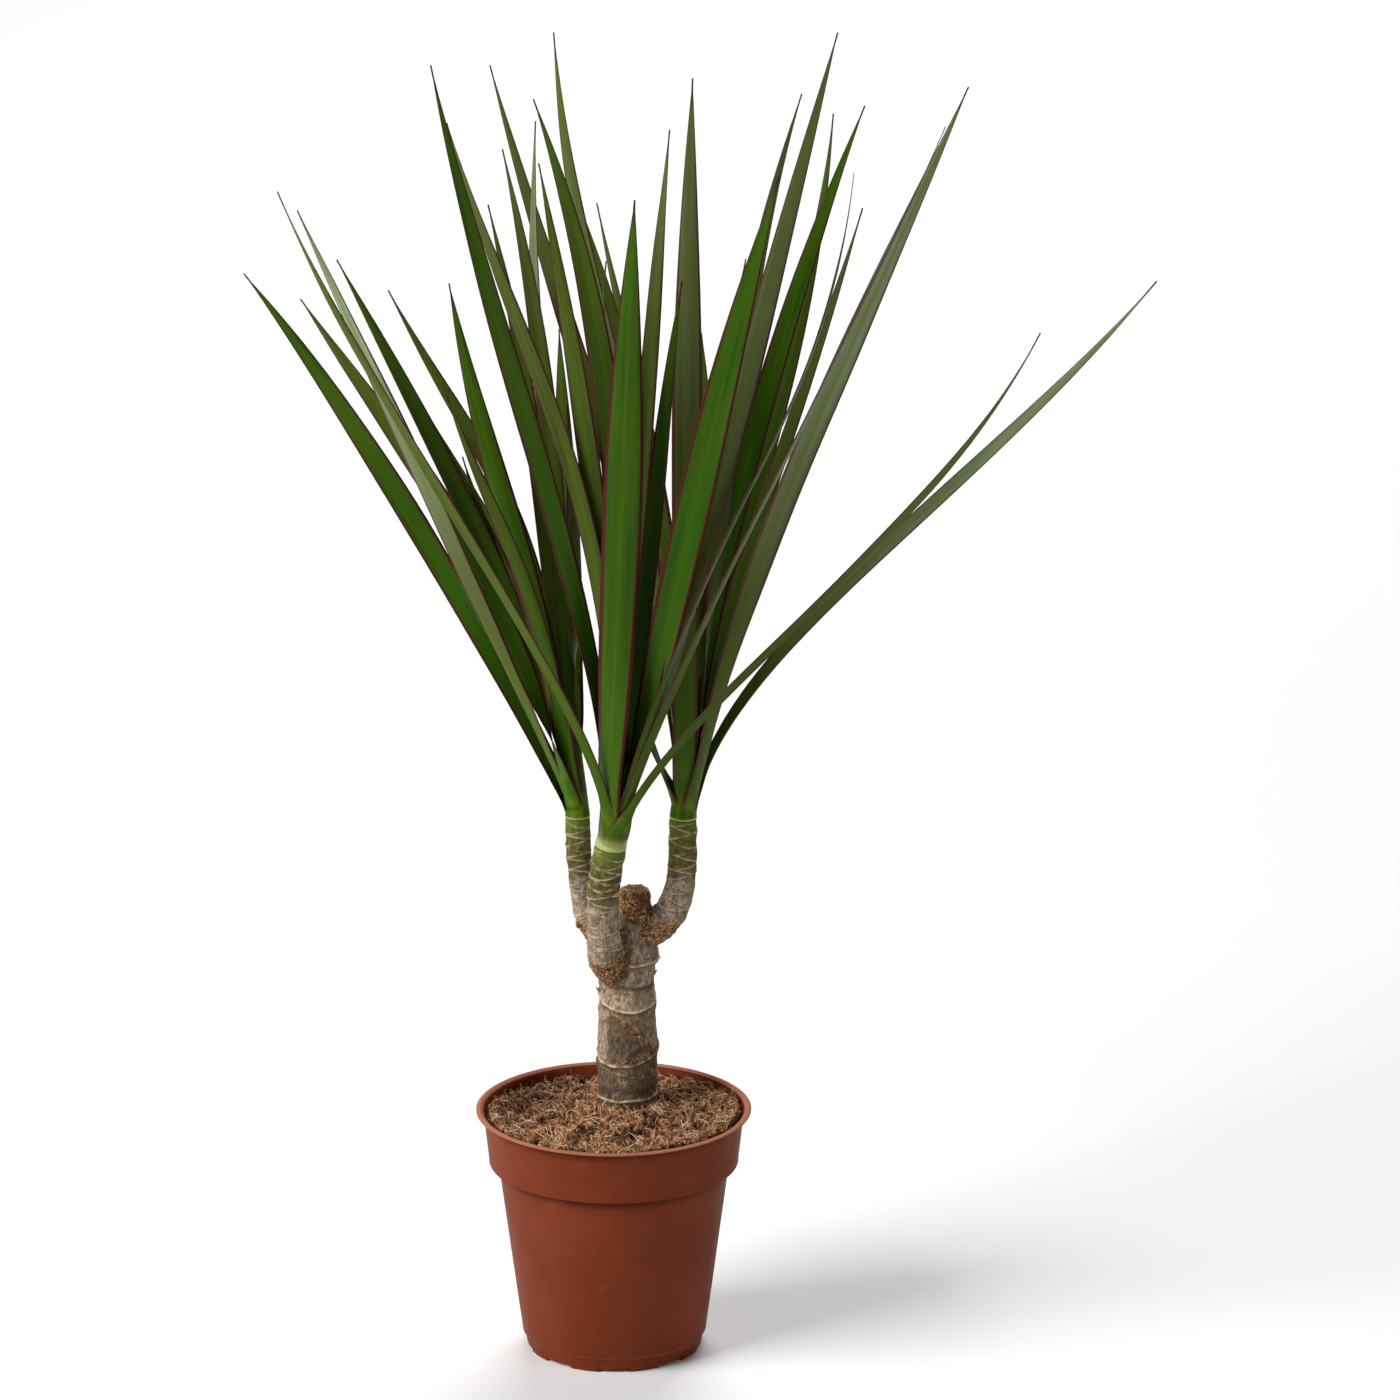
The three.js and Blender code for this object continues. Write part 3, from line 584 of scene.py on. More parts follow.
# scars of the cane, from the top: height on its axis, tilt, compass angle of its high side, rise of the
# ledge, how pale its line is (below 0 dark), which also sets the painted shadow under it, and how light the
# bark is from there down
CANE_LEDGES = [
    (172.2, 0.8, -60, 0.7, 1.0, 1.0), (163.5, 1.4, 122, -0.35, -1.0, 0.85), (156.2, 4.6, 99, 0.9, 1.0, 0.36),
    (148, 2, 40, -0.15, -0.3, 0.34), (131.3, 4.8, 71, 0.95, 1.0, 0.14), (123, 3, 160, 0.15, 0.2, 0.12),
    (110.4, 0.4, 0, 0.7, 0.95, 0.1),
]
CANE_TOP_LIGHT, SHOOT_LIGHT, STEM_STEPS = 0.7, 0.85, 90
# the marks of a scar: rise of its ledge, and widths of the ledge above and below the edge, of the pale
# line, of the painted shadow under the ledge and its drop below the edge, and of the rust and its drop
CANE_MARKS = {"rise": 0.55, "over": 0.4, "under": 1.4, "pale": 0.42, "dark": (0.5, 0.85), "rust": (1.7, 1.8)}
SHOOT_MARKS = {"rise": 0.26, "over": 0.36, "pale": 0.28, "dark": (0.4, 0.6)}
# a torn brown ridge across the front of the cane: compass angle and height of its two ends
TORN_RIDGE, RIDGE_WIDTH, CANE_ROUND = ((-118, 151), (-46, 136)), 1.15, 12.5
# the ledge that the tan wedge of torn bark lies over, and how far it reaches above it
WEDGE_LEDGE, WEDGE_REACH = CANE_LEDGES[4], (2.5, 5.5)
# angles in radians where the torn bark begins on the left, and beyond which the cane is pale
RIDGE_LEFT, WEDGE_LEFT, PALE_LEFT, PANEL_RIGHT = (-2.1, -1.9), (-2.2, -1.7), (2.2, 2.45), 0.2
# callus: middle, reach and strength of each patch of brown cork; there is none below CORK_FROM
CORK_PATCHES = [
    ((9.5, 14, 200), 10, 1.0), ((11, 10, 194), 5.5, 0.9), ((22, 13, 187), 8.5, 0.9), ((16, 9, 187), 5, 0.9),
    ((-3, 1.5, 171.5), 9, 1.0), ((3, 3, 177), 6, 0.95), ((3, 4.5, 187), 4.5, 0.8), ((-9, 19, 184), 7, 0.9),
]
CORK_FROM, STUB_FROM, STUB_TOP = 156, 180, 200
# scars of the shoots: step from one to the next, tilt and strength; and how far down the shoot the green
# ends and the pale lines fade
RING_STEPS, RING_TILTS, RING_STRENGTHS = (2.2, 3.9), (0.9, 2.3), (0.45, 1)
GREEN_DOWN, LINES_FADE = (20, 30), (22, 32)


def spread_evenly(path, count):
    """Evenly spread points on a fine path, with the way it runs at each, and its length."""
    gone = np.append(0, np.cumsum(np.linalg.norm(np.diff(path, axis=0), axis=1)))
    even = np.linspace(0, gone[-1], count)
    places = np.stack([np.interp(even, gone, path[:, k]) for k in range(3)], 1)
    ways = np.gradient(places, axis=0)
    return places, ways / np.linalg.norm(ways, axis=1)[:, None], gone[-1]


def curve_points(route, count):
    """Evenly spread points on a smooth curve through the route, with the way it runs at each."""
    knots = np.array([2 * np.array(route[0]) - route[1], *route, 2 * np.array(route[-1]) - route[-2]], float)
    path = []
    for k in range(1, len(knots) - 2):
        a, b, c, d = knots[k - 1:k + 3]
        for t in np.linspace(0, 1, 40, endpoint=k == len(knots) - 3):
            path.append(0.5 * (2 * b + (c - a) * t + (2 * a - 5 * b + 4 * c - d) * t ** 2
                               + (3 * b - a - 3 * c + d) * t ** 3))
    return spread_evenly(np.array(path), count)


def square_to(way, vector):
    """The part of a vector that stands square to a way, at unit length."""
    kept = vector - way * way.dot(vector)
    return kept.normalized()


def stem_mesh():
    """The trunk's solid, remeshed finely and smoothed, so that its parts flow into each other."""
    body = bpy.data.objects.new("bark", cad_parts["trunk"].data.copy())
    bpy.context.scene.collection.objects.link(body)
    grid = body.modifiers.new("fine", "REMESH")
    grid.mode, grid.voxel_size, grid.use_smooth_shade = "VOXEL", 0.42 * MM, True
    calm = body.modifiers.new("calm", "SMOOTH")
    calm.factor, calm.iterations = 0.5, 14
    work_in(body)
    return body


def stem_places(points):
    """For every point: the stem it belongs to, its angle round that stem, its distance from the top and
    the stem's length."""
    best = np.full(len(points), np.inf)
    name_of = np.zeros(len(points), int)
    angle, below, length_of = (np.zeros(len(points)) for _ in range(3))
    for number, (route, radii) in enumerate(STEM_ROUTES.values()):
        spots_on, ways, length = curve_points(route, STEM_STEPS)
        share = np.linspace(0, 1, STEM_STEPS)
        thick = np.interp(share, np.linspace(0, 1, len(radii)), radii)
        away = np.linalg.norm(points[:, None, :] - spots_on[None, :, :], axis=2)
        near = away.argmin(1)
        depth = away[np.arange(len(points)), near] - thick[near]
        way = ways[near]
        side = np.array([1.0, 0, 0]) - way * way[:, :1]
        side /= np.linalg.norm(side, axis=1)[:, None]
        offset = points - spots_on[near]
        mine = depth < best
        best[mine], name_of[mine], length_of[mine] = depth[mine], number, length
        angle[mine] = np.arctan2((offset * np.cross(way, side)).sum(1), (offset * side).sum(1))[mine]
        below[mine] = (length - share[near] * length - (offset * way).sum(1))[mine]
    return name_of, angle, below, length_of


def ring_scars(number, length):
    """The leaf scars up one shoot: height, tilt, angle of the high side (by turns right and left, so that
    they cross in lenses), and strength of each."""
    draw = np.random.default_rng(60 + number)
    height, scars = 1.0, []
    while height < length - 1.5:
        height += draw.uniform(*RING_STEPS)
        high = len(scars) % 2 * math.pi + draw.uniform(-0.8, 0.8)
        scars.append((height, draw.uniform(*RING_TILTS), high, draw.uniform(*RING_STRENGTHS)))
    return scars


def hump(gap, width, drop=0):
    """1 on a line that lies a drop below the edge, and next to nothing at twice its width on both sides."""
    return np.exp(-(((gap + drop) / width) ** 2))


def torn_bark(points, turn, light, cane, patchy):
    """The torn ridge across the panel between two ledges, how light the bark is round it, and the tan
    wedge under it."""
    (low_turn, low_height), (high_turn, high_height) = TORN_RIDGE
    reach = np.array([math.radians(high_turn - low_turn) * CANE_ROUND, high_height - low_height])
    flat = np.stack([(turn - math.radians(low_turn)) * CANE_ROUND, points[:, 2] - low_height], 1)
    share = np.clip(flat @ reach / (reach @ reach), 0, 1)
    from_ridge = np.linalg.norm(flat - share[:, None] * reach, axis=1) + 0.35 * patchy
    panel = cane & (light < 0.45) & (light > 0.3) & (turn < PANEL_RIGHT)
    over = smoothstep(flat[:, 1] * reach[0] - flat[:, 0] * reach[1], 0, 12) * smoothstep(turn, *RIDGE_LEFT)
    far_left = smoothstep(-turn, *PALE_LEFT)
    lighter = panel * (0.38 * over + 0.75 * far_left - 0.3 * (1 - over) * (1 - far_left))
    height, tilt, high = WEDGE_LEDGE[:3]
    over_ledge = points[:, 2] - height - tilt * np.cos(turn - math.radians(high)) + 0.8 * patchy
    wedge = panel * (1 - smoothstep(over_ledge, *WEDGE_REACH)) * smoothstep(turn, *WEDGE_LEFT)
    return cane * hump(from_ridge, RIDGE_WIDTH), lighter, wedge


# what each point of the bark knows: how far it is a pale line, a dark line together with the painted shadow
# under ledges, cork, green and light, how far it is below the top of its stem in millimetres, and how rusty
# it is
BARK_FACTS = ("ledge_line", "ledge_shadow_and_dark_line", "cork", "young", "light", "below", "rust")


def bark():
    piece = stem_mesh()
    points = np.array([v.co for v in piece.data.vertices], float) / MM
    normals = np.array([v.normal for v in piece.data.vertices], float)
    name_of, angle, below, length = stem_places(points)
    height_of = points[:, 2]
    stub, shoot = name_of == list(STEM_ROUTES).index("stub"), name_of < 3
    cane = ~shoot & ~(stub & (height_of >= STUB_FROM))
    ledge, line, dark, rust, cork = (np.zeros(len(points)) for _ in range(5))
    light = np.where(shoot, SHOOT_LIGHT, CANE_TOP_LIGHT)
    wobble, patchy, torn = 0.5 * rough(points, 6.0, 11, 3), rough(points, 3.2, 14, 3), rough(points, 3.0, 5)
    thinned = np.clip(0.75 + 1.1 * patchy, 0.15, 1)
    turn = np.arctan2(points[:, 1] - CANE_Y, points[:, 0] - CANE_X)
    marks = CANE_MARKS
    for height, tilt, high, rise, pale, below_it in CANE_LEDGES:
        gap = height_of - (height + tilt * np.cos(turn - math.radians(high)) + wobble)
        ledge += cane * marks["rise"] * rise * hump(gap, np.where(gap > 0, marks["over"], marks["under"]))
        light += cane * (below_it - light) * (1 - smoothstep(gap, -0.5, 0.3))
        line = np.maximum(line, cane * max(pale, 0) * thinned * hump(gap, marks["pale"]))
        # painted shadow just under every ledge of the cane, and a dark line on the edge where the line is
        # dark
        dark = np.maximum(dark, cane * abs(pale) * 0.9 * hump(gap, *marks["dark"]))
        dark = np.maximum(dark, cane * max(-pale, 0) * hump(gap, 0.45))
        rust = np.maximum(rust, cane * (thinned - 0.1) * hump(gap, *marks["rust"]))
    ridge, lighter, wedge = torn_bark(points, turn, light, cane, patchy)
    light += lighter
    marks = SHOOT_MARKS
    for number in range(3):
        here = np.flatnonzero((name_of == number) & (below > 1.0))
        aged = 1 - 0.4 * smoothstep(below[here], *LINES_FADE)
        for height, tilt, high, strength in ring_scars(number, length[here][0]):
            gap = (length - below)[here] - height - tilt * np.cos(angle[here] - high) - 0.35 * wobble[here]
            ledge[here] += marks["rise"] * strength * hump(gap, marks["over"])
            line[here] = np.maximum(line[here], strength * aged * thinned[here] * hump(gap, marks["pale"]))
            # painted shadow just under each scar of a shoot
            dark[here] = np.maximum(dark[here], 0.6 * strength * hump(gap, *marks["dark"]))
    for middle, reach, strength in CORK_PATCHES:
        away = np.linalg.norm(points - middle, axis=1) + 1.6 * torn
        cork = np.maximum(cork, strength * (1 - smoothstep(away, reach - 1.2, reach + 0.8)))
    cork = np.maximum(np.maximum(cork * (height_of >= CORK_FROM), 0.95 * ridge), 0.62 * wedge)
    green = shoot * (1 - smoothstep(below + 2.5 * torn, *GREEN_DOWN))
    old = (1 - green) * (1 - cork)
    fine = rough(np.stack([9 * np.cos(angle), 9 * np.sin(angle), -0.13 * below], 1), 1.6, 8, 3)
    chunky = cork * (0.42 * rough(points, 2.2, 9, 4) + 0.3 * rough(points, 0.85, 10, 3))
    push = ledge * (1 - 0.8 * cork) + 0.07 * fine * old + 0.2 * rough(points, 3.5, 12, 3) * old + chunky
    push += 0.5 * ridge
    cut_top = stub & (normals[:, 2] > 0.7) & (height_of > STUB_TOP)
    push = np.where(cut_top, -0.6 + 0.6 * chunky, push)
    moved = points + normals * push[:, None]
    piece.data.vertices.foreach_set("co", (moved * MM).astype(np.float32).ravel())
    piece.data.update()
    for label, values in zip(BARK_FACTS, (
            line * (1 - 0.8 * cork), dark * (1 - 0.6 * cork), cork, green, light, below, rust)):
        put_values(piece, label, values)
    grain = piece.data.attributes.new("grain", "FLOAT_VECTOR", "POINT")
    straight = np.stack([12 * np.cos(angle), 12 * np.sin(angle), -below], 1) * MM
    grain.data.foreach_set("vector", straight.astype(np.float32).ravel())
    return piece


def bark_material():
    material, tree, shader, where = new_material("bark", 0.84, 0.18)
    grain = wire(tree, "ShaderNodeAttribute", {"attribute_name": "grain"}).outputs["Vector"]
    ledge, dark, cork, young, light, below, rust = carried(tree, *BARK_FACTS)
    fibres = use(tree, STREAKS, grain, 900, 2.2, 0.36, 0.66)
    clouds = use(tree, SPECKLE, where, 170, 7, 0.4, 0.62)
    bits, stain = use(tree, SPECKLE, where, 950, 8, 0.3, 0.7), spotted(tree, where, 330, 7, 0.5, 0.6)
    weathered = blend_colour(tree, fibres["Mask"], (0.26, 0.19, 0.13), (0.44, 0.345, 0.245))
    damp = blend_colour(tree, fibres["Mask"], (0.05, 0.034, 0.019), (0.135, 0.098, 0.06))
    shade = ranged(tree, maths(tree, "MULTIPLY_ADD", clouds["Raw"], 2.4, light), 1.3, 2.15, course="LINEAR")
    colour = coats(
        tree, blend_colour(tree, shade, damp, weathered),
        (stain, 0.62, (0.1, 0.05, 0.025)),
        (spotted(tree, where, 1000, 6, 0.52, 0.62), 0.55, (0.06, 0.037, 0.024)),
        (spotted(tree, where, 95, 4, 0.5, 0.66), 0.4, (0.13, 0.118, 0.068)),
        (lined(tree, grain, 1500, 3.2, 0.6, 0.7), 0.25, (0.42, 0.35, 0.27)),
        (rust, 0.65, (0.17, 0.085, 0.036)),
        (spotted(tree, where, 560, 2, 0.67, 0.73), 0.7, (0.085, 0.03, 0.022)))
    rind = spotted(tree, where, 420, 6, 0.38, 0.66)
    skin = blend_colour(tree, rind, (0.06, 0.048, 0.012), (0.135, 0.122, 0.028))
    skin = blend_colour(tree, ranged(tree, below, 14, 0, 0.0, 0.75), skin, (0.095, 0.14, 0.014))
    colour = blend_colour(tree, young, colour, skin)
    colour = blend_colour(tree, maths(tree, "PINGPONG", young, 0.5), colour, (0.05, 0.03, 0.017))
    crust = coats(
        tree, colour_ramp(tree, bits["Mask"], (0.0, (0.04, 0.016, 0.006)), (0.4, (0.17, 0.076, 0.028)),
                          (0.7, (0.35, 0.175, 0.072)), (1.0, (0.58, 0.38, 0.2))),
        (spotted(tree, where, 120, 3, 0.48, 0.6), 0.6, (0.05, 0.02, 0.008)),
        (stain, 0.4, (0.075, 0.032, 0.014)))
    colour = coats(
        tree, blend_colour(tree, cork, colour, crust),
        # painted shadow and dark lines under the ledges, then the pale ledge lines
        (dark, 0.85, (0.04, 0.022, 0.012)), (ledge, 0.95, (0.68, 0.53, 0.33)),
        (spotted(tree, where, 480, 1, 0.73, 0.76), cork, (0.7, 0.62, 0.5)))
    tree.links.new(colour, shader["Base Color"])
    relief(tree, shader, maths(tree, "MULTIPLY_ADD", cork, bits["Raw"], fibres["Raw"]), 0.6 * MM, 0.9)
    return material


# slivers of dry bark that stand off the wood: foot, tip, width at the foot, and the way they curl
SLIVERS = [
    ((17.2, 8.2, 184), (14.8, 8.6, 194.5), 3.4, 1.2), ((18.6, 7.6, 183), (18.8, 6.6, 190), 2.4, -0.8),
    ((-0.5, 2.2, 164), (-1.6, 0.9, 169.5), 2.0, 0.9), ((17.6, 10, 166.5), (19, 9.2, 169), 1.6, 0.5),
    ((-6, 11, 158.4), (-7.3, 10.2, 160.6), 1.4, -0.5), ((-14.6, 15.6, 186), (-16.4, 14.4, 190), 2.2, 0.6),
]
SLIVER_STEPS, SLIVER_SIDES, SLIVER_HALF = 9, 4, 0.14


def bark_slivers():
    points, faces = [], []
    around = 2 * (SLIVER_SIDES + 1)
    for number, (foot, tip, width, curl) in enumerate(SLIVERS):
        foot, tip = Vector(foot), Vector(tip)
        way = (tip - foot).normalized()
        face = square_to(way, Vector((0.15, -1, 0.1)))
        side = way.cross(face)
        faces += tube_faces(SLIVER_STEPS, around, len(points))
        for share in np.linspace(0, 1, SLIVER_STEPS):
            wide = width * (1 - share) ** 0.7 * (1 + 0.25 * math.sin(7 * share + number)) / 2
            spot = foot.lerp(tip, share) + face * (curl * share ** 2)
            for sheet in (1, -1):
                for across in np.linspace(-sheet, sheet, SLIVER_SIDES + 1):
                    jag = 0.3 * noise.noise(Vector((across * 2, share * 5, number)))
                    lift = sheet * SLIVER_HALF - 0.35 * across ** 2
                    points.append(tuple(spot + side * (wide * across + jag) + face * lift))
    return new_piece("bark_slivers", points, faces)


def sliver_material():
    material, tree, shader, where = new_material("dry_bark", 0.85, 0.15)
    grain = use(tree, STREAKS, where, 1600, 8, 0.35, 0.7)
    colour = coats(
        tree, blend_colour(tree, grain["Mask"], (0.2, 0.105, 0.05), (0.5, 0.36, 0.22)),
        (spotted(tree, where, 600, 5, 0.5, 0.66), 0.7, (0.1, 0.045, 0.02)))
    tree.links.new(colour, shader["Base Color"])
    relief(tree, shader, grain["Raw"], 0.3 * MM, 0.8)
    return material


dress(bark(), "trunk", bark_material())
dress(bark_slivers(), "trunk", sliver_material())

# ---------------------------------------------------------------- the leaves
# Long narrow leaves in three heads. Each wraps its shoot with a pale sheath, widens before its middle and
# runs out to a point; it is glossy green with a thin dark red margin, a paler middle and a brown tip.
BLADE_STEPS, BLADE_SIDE, RIPPLE, HALF_THICK, MARGIN_THINS, TIP_THINS = 56, 5, 0.28, 0.34, 0.2, 0.55
SHEATH_SPAN, SHEATH_LENGTH, OPENING = 2.3, 22, 1.4
NECK, WIDENS, WIDEST, TAPER, TIP_WIDTH = 0.82, 0.05, 0.52, 1.75, 0.7
GUTTER, OUTWARD, TIP_HOLD, TURNS_FROM, TURNED_AT = 0.035, 0.12, 0.38, 0.04, 0.4
FIRST_HEIGHT, HEIGHT_STEP, SINK = 1.6, 2.1, 0.45
CORE_LENGTH, CORE_TIP, CORE_RINGS, CORE_SIDES = 40, 1.6, 14, 24
# what each point knows: how far it is from the margin, middle line, root and tip, the side it is on,
# and its leaf's tone and paleness
LEAF_FACTS = ("to_margin", "across", "from_root", "to_tip", "upper", "tone", "pale")
# how far up the pale foot of each head reaches
WAN_FEET = {"left": 0.9, "front": 5.5, "right": 0.9}
# leaves from the lowest to the youngest: tip, width, hold along the shoot, droop and sway of the tip in
# degrees, how far the blade turns its face (or below 0 its back) to the front, how pale it is, and the
# side that its root sits on
HEADS = {
    "left": (5.5, [
        ((-157, 48, 471), 10.5, 0.04, 7, -4, 0.9, 0.1), ((-80, -3, 401), 9, 0.16, 7, 0, 0.8, 0, -0.4),
        ((-133, 30, 503), 8.5, 0.04, 1, 1, -0.7, 0.95),
        ((-69, 34, 470), 11, 0.35, -2, 2, -0.8, 0.05, -0.65),
        ((-137, 150, 434), 10, 0.25, 8, 0, 0.5, 0.3), ((-70, -6, 432), 6.5, 0.49, 3, -1, -0.7, 0.35),
        ((-117, 44, 478), 8.5, 0.19, 5, 0, 0.8, 0.2), ((-99, 95, 430), 8.5, 0.25, 5, 0, 0.6, 0.3),
        ((-64, 39, 392), 6, 0.12, -2, 1, 0.7, 0.15), ((-95, 38, 466), 7.5, 0.55, 7, 0, 0.8, 0.4),
        ((-84, 130, 392), 9, 0.3, 6, 0, 0.5, 0.3), ((-23, 150, 420), 10, 0.35, 8, 0, 0.5, 0.3),
        ((-52, 31, 505), 7.5, 0.55, 3, -7, 0.7, 0.3), ((-46, 49, 525), 8.5, 0.46, 8, -1, 0.8, 0.4),
        ((-19, 50, 412), 8, 0.39, 0, -3, -0.8, 1), ((-32, 67, 533), 6.5, 0.31, -15, 3, -0.8, 0.8)]),
    "front": (7, [
        ((178, -62, 472), 4.6, 0.21, -13, 11, 0.1, 0.4, -0.8),
        ((-138, -45, 529), 5.5, 0.16, -5, -6, 0.1, 0.35, -0.8),
        ((10, -41, 524), 17, 0.35, 0, 1, -0.9, 0, -0.5),
        ((138, -59, 559), 5, 0.21, -1, -1, 0.25, 0.7, -0.7),
        ((101, -40, 535), 7, 0.54, -14, 2, 0.3, 0.35, -0.7),
        ((-74, -44, 582), 9.5, 0.22, -1, 1, 0.7, 0.1), ((70, -51, 537), 15, 0.04, 0, -8, 0.9, 0),
        ((94, -38, 594), 10.5, 0.26, 1, -1, -0.9, 0.45), ((-68, -28, 554), 8, 0.46, 0, -11, -0.7, 0.35),
        ((-30, -12, 533), 9.5, 0.26, 5, 0, -0.8, 0.3), ((-32, -19, 562), 11.5, 0.26, 13, -3, 0.8, 0.2),
        ((30, 0, 479), 8, 0.41, 1, 2, 0.8, 0.1), ((25, 19, 540), 9, 0.31, 10, 5, -0.8, 0.3),
        ((-2, 3, 487), 6.5, 0.55, -13, -5, -0.7, 0.2), ((0, -8, 440), 7, 0.4, 0, 0, 0.5, 0.2)]),
    "right": (6, [
        ((232, 22, 473), 6, 0.23, -1, 0, 0.8, 0.95), ((151, 20, 558), 10.5, 0.29, 4, -1, -0.9, 0.85),
        ((-8, -1, 375), 6.5, 0.08, -12, 0, 0.4, 0.3), ((35, 47, 556), 13, 0.25, 0, 1, -0.9, 0.5, -0.8),
        ((75, 170, 414), 10, 0.3, 8, 0, 0.4, 0.3), ((109, 90, 489), 6, 0.22, 1, -1, 0.6, 0.5),
        ((109, 69, 539), 10, 0.25, 10, 1, 0.8, 0.05), ((-52, 110, 548), 8.5, 0.22, 0, 0, 0.8, 0.4),
        ((97, 120, 524), 8, 0.2, -8, -5, 0.6, 0.2), ((82, 70, 544), 9, 0.33, 9, 5, -0.8, 0.6),
        ((-24, 61, 573), 9, 0.55, -11, -3, -0.8, 0.4), ((-13, 90, 490), 8, 0.34, 8, -4, 0.7, 0.4),
        ((59, 120, 459), 8, 0.32, 5, 2, 0.6, 0.2), ((-6, 130, 482), 6, 0.39, 4, -1, 0.6, 0.5),
        ((40, 150, 418), 8, 0.4, 4, -6, 0.5, 0.3)]),
}


def leaf_spine(root, out, axis, row):
    """Points and ways of a leaf's middle line, evenly spread from its root to its tip, and its length."""
    tip, _, hold, droop, sway = row[:5]
    tip = Vector(tip)
    length = (tip - root).length
    chord = (tip - root).normalized()
    up = square_to(chord, axis)
    tip_way = chord * math.cos(math.radians(droop)) - up * math.sin(math.radians(droop))
    tip_way = tip_way * math.cos(math.radians(sway)) + chord.cross(up) * math.sin(math.radians(sway))
    first = root + axis * (hold * length) + out * (OUTWARD * hold * length)
    second = tip - tip_way * (TIP_HOLD * length)
    t = np.linspace(0, 1, 401)[:, None]
    fine = (np.array(root) * (1 - t) ** 3 + np.array(first) * 3 * t * (1 - t) ** 2
            + np.array(second) * 3 * t * t * (1 - t) + np.array(tip) * t ** 3)
    places, ways, length = spread_evenly(fine, BLADE_STEPS)
    return [Vector(p) for p in places], [Vector(w) for w in ways], length


def leaf_width(distance, length, width, sheath):
    share = distance / length
    neck = sheath + (NECK * width - sheath) * smoothstep(distance, 0, SHEATH_LENGTH)
    blade = neck + (width - neck) * smoothstep(share, WIDENS, WIDEST)
    taper = 1 - max(0, (share - WIDEST) / (1 - WIDEST)) ** TAPER
    return max(blade * taper, TIP_WIDTH)


def leaf_blade(root, out, axis, radius, row, seed):
    """Rings of points across the upper and the lower face, and what each point knows of its leaf."""
    _, width, _, _, _, facing, pale = row[:7]
    places, ways, length = leaf_spine(root, out, axis, row)
    face, untwisted = -out, []
    for way in ways:
        face = square_to(way, face)
        untwisted.append(face)
    middle = round(BLADE_STEPS * 4 / 7)
    goal = square_to(ways[middle], Vector((0, 1 if facing < 0 else -1, 0)))
    start = untwisted[middle]
    swing = abs(facing) * math.atan2(start.cross(goal).dot(ways[middle]), start.dot(goal))
    draw = np.random.default_rng(seed)
    right_ripple, left_ripple, pace = draw.uniform(0, 2 * math.pi, 3)
    end_twist = math.radians(draw.uniform(-9, 9))
    tone = np.random.default_rng(seed + 7).random()
    points, facts = [], []
    for place, way, face, share in zip(places, ways, untwisted, np.linspace(0, 1, BLADE_STEPS)):
        distance = share * length
        twist = swing * smoothstep(share, TURNS_FROM, TURNED_AT) + end_twist * smoothstep(share, 0.45, 1)
        normal = (face * math.cos(twist) + way.cross(face) * math.sin(twist)).normalized()
        side = way.cross(normal)
        wide = leaf_width(distance, length, width, SHEATH_SPAN * radius)
        tight = 1 / (radius - SINK)
        curl = tight + (GUTTER - tight) * smoothstep(distance, 0, OPENING * SHEATH_LENGTH)
        wave = RIPPLE * smoothstep(share, 0.12, 0.3) * (1 - smoothstep(share, 0.85, 1))
        for sheet in (1, -1):
            for across in np.linspace(-sheet, sheet, 2 * BLADE_SIDE + 1):
                turn = curl * wide / 2 * across
                half = (HALF_THICK - MARGIN_THINS * across ** 4) * (1 - TIP_THINS * smoothstep(share, 0.8, 1))
                start_at = right_ripple if across > 0 else left_ripple
                ripple = math.sin(share * (19 + 4 * math.sin(pace)) + start_at)
                lift = sheet * half + wave * across ** 2 * ripple
                spot = (place + side * (math.sin(turn) / curl) + normal * ((1 - math.cos(turn)) / curl)
                        + normal * (lift * math.cos(turn)) - side * (lift * math.sin(turn)))
                points.append(tuple(spot))
                facts.append((wide / 2 * (1 - abs(across)), wide / 2 * across, distance, length - distance,
                              max(sheet, 0), tone, pale))
    return points, facts


def head_of_leaves(name):
    """All leaves of one shoot, round the young rolled leaves in its middle."""
    core_radius, rows = HEADS[name]
    places, ways, _ = curve_points(STEM_ROUTES[name][0], STEM_STEPS)
    axis = Vector(ways[-1]).normalized()
    foot = Vector(places[-1]) + axis * 0.3
    side = square_to(axis, Vector((1, 0, 0)))
    back = axis.cross(side)
    points, facts, faces = [], [], tube_faces(CORE_RINGS, CORE_SIDES)
    for climb in CORE_LENGTH * np.linspace(0, 1, CORE_RINGS) ** 1.5:
        thick = core_radius + (CORE_TIP - core_radius) * climb / CORE_LENGTH
        for turn in np.arange(CORE_SIDES) * 2 * math.pi / CORE_SIDES:
            aside = (side * math.cos(turn) + back * math.sin(turn)) * thick
            points.append(tuple(foot + axis * climb + aside))
            facts.append((4.0, thick * math.cos(turn), climb, 90.0, 1.0, 0.5, 0.0))
    for order, row in enumerate(rows):
        climb = FIRST_HEIGHT + HEIGHT_STEP * order
        on_axis = foot + axis * climb
        seat = row[7] if len(row) > 7 else 0.5 * row[5]
        lean = square_to(axis, Vector(row[0]) - on_axis) * (1 - abs(seat))
        out = square_to(axis, lean + Vector((0, seat, 0)))
        radius = core_radius + (CORE_TIP - core_radius) * min(1, climb / CORE_LENGTH)
        faces += tube_faces(BLADE_STEPS, 2 * (2 * BLADE_SIDE + 1), len(points))
        root, seed = on_axis + out * (radius - SINK), 100 * len(name) + order
        blade, known = leaf_blade(root, out, axis, radius, row, seed)
        points += blade
        facts += known
    piece = new_piece(f"{name}_leaves", points, faces)
    put_values(piece, "climb", (np.array(points) - np.array(foot)) @ np.array(axis))
    put_values(piece, "wan", np.full(len(points), WAN_FEET[name]))
    for label, values in zip(LEAF_FACTS, np.array(facts).T):
        put_values(piece, label, values)
    return piece


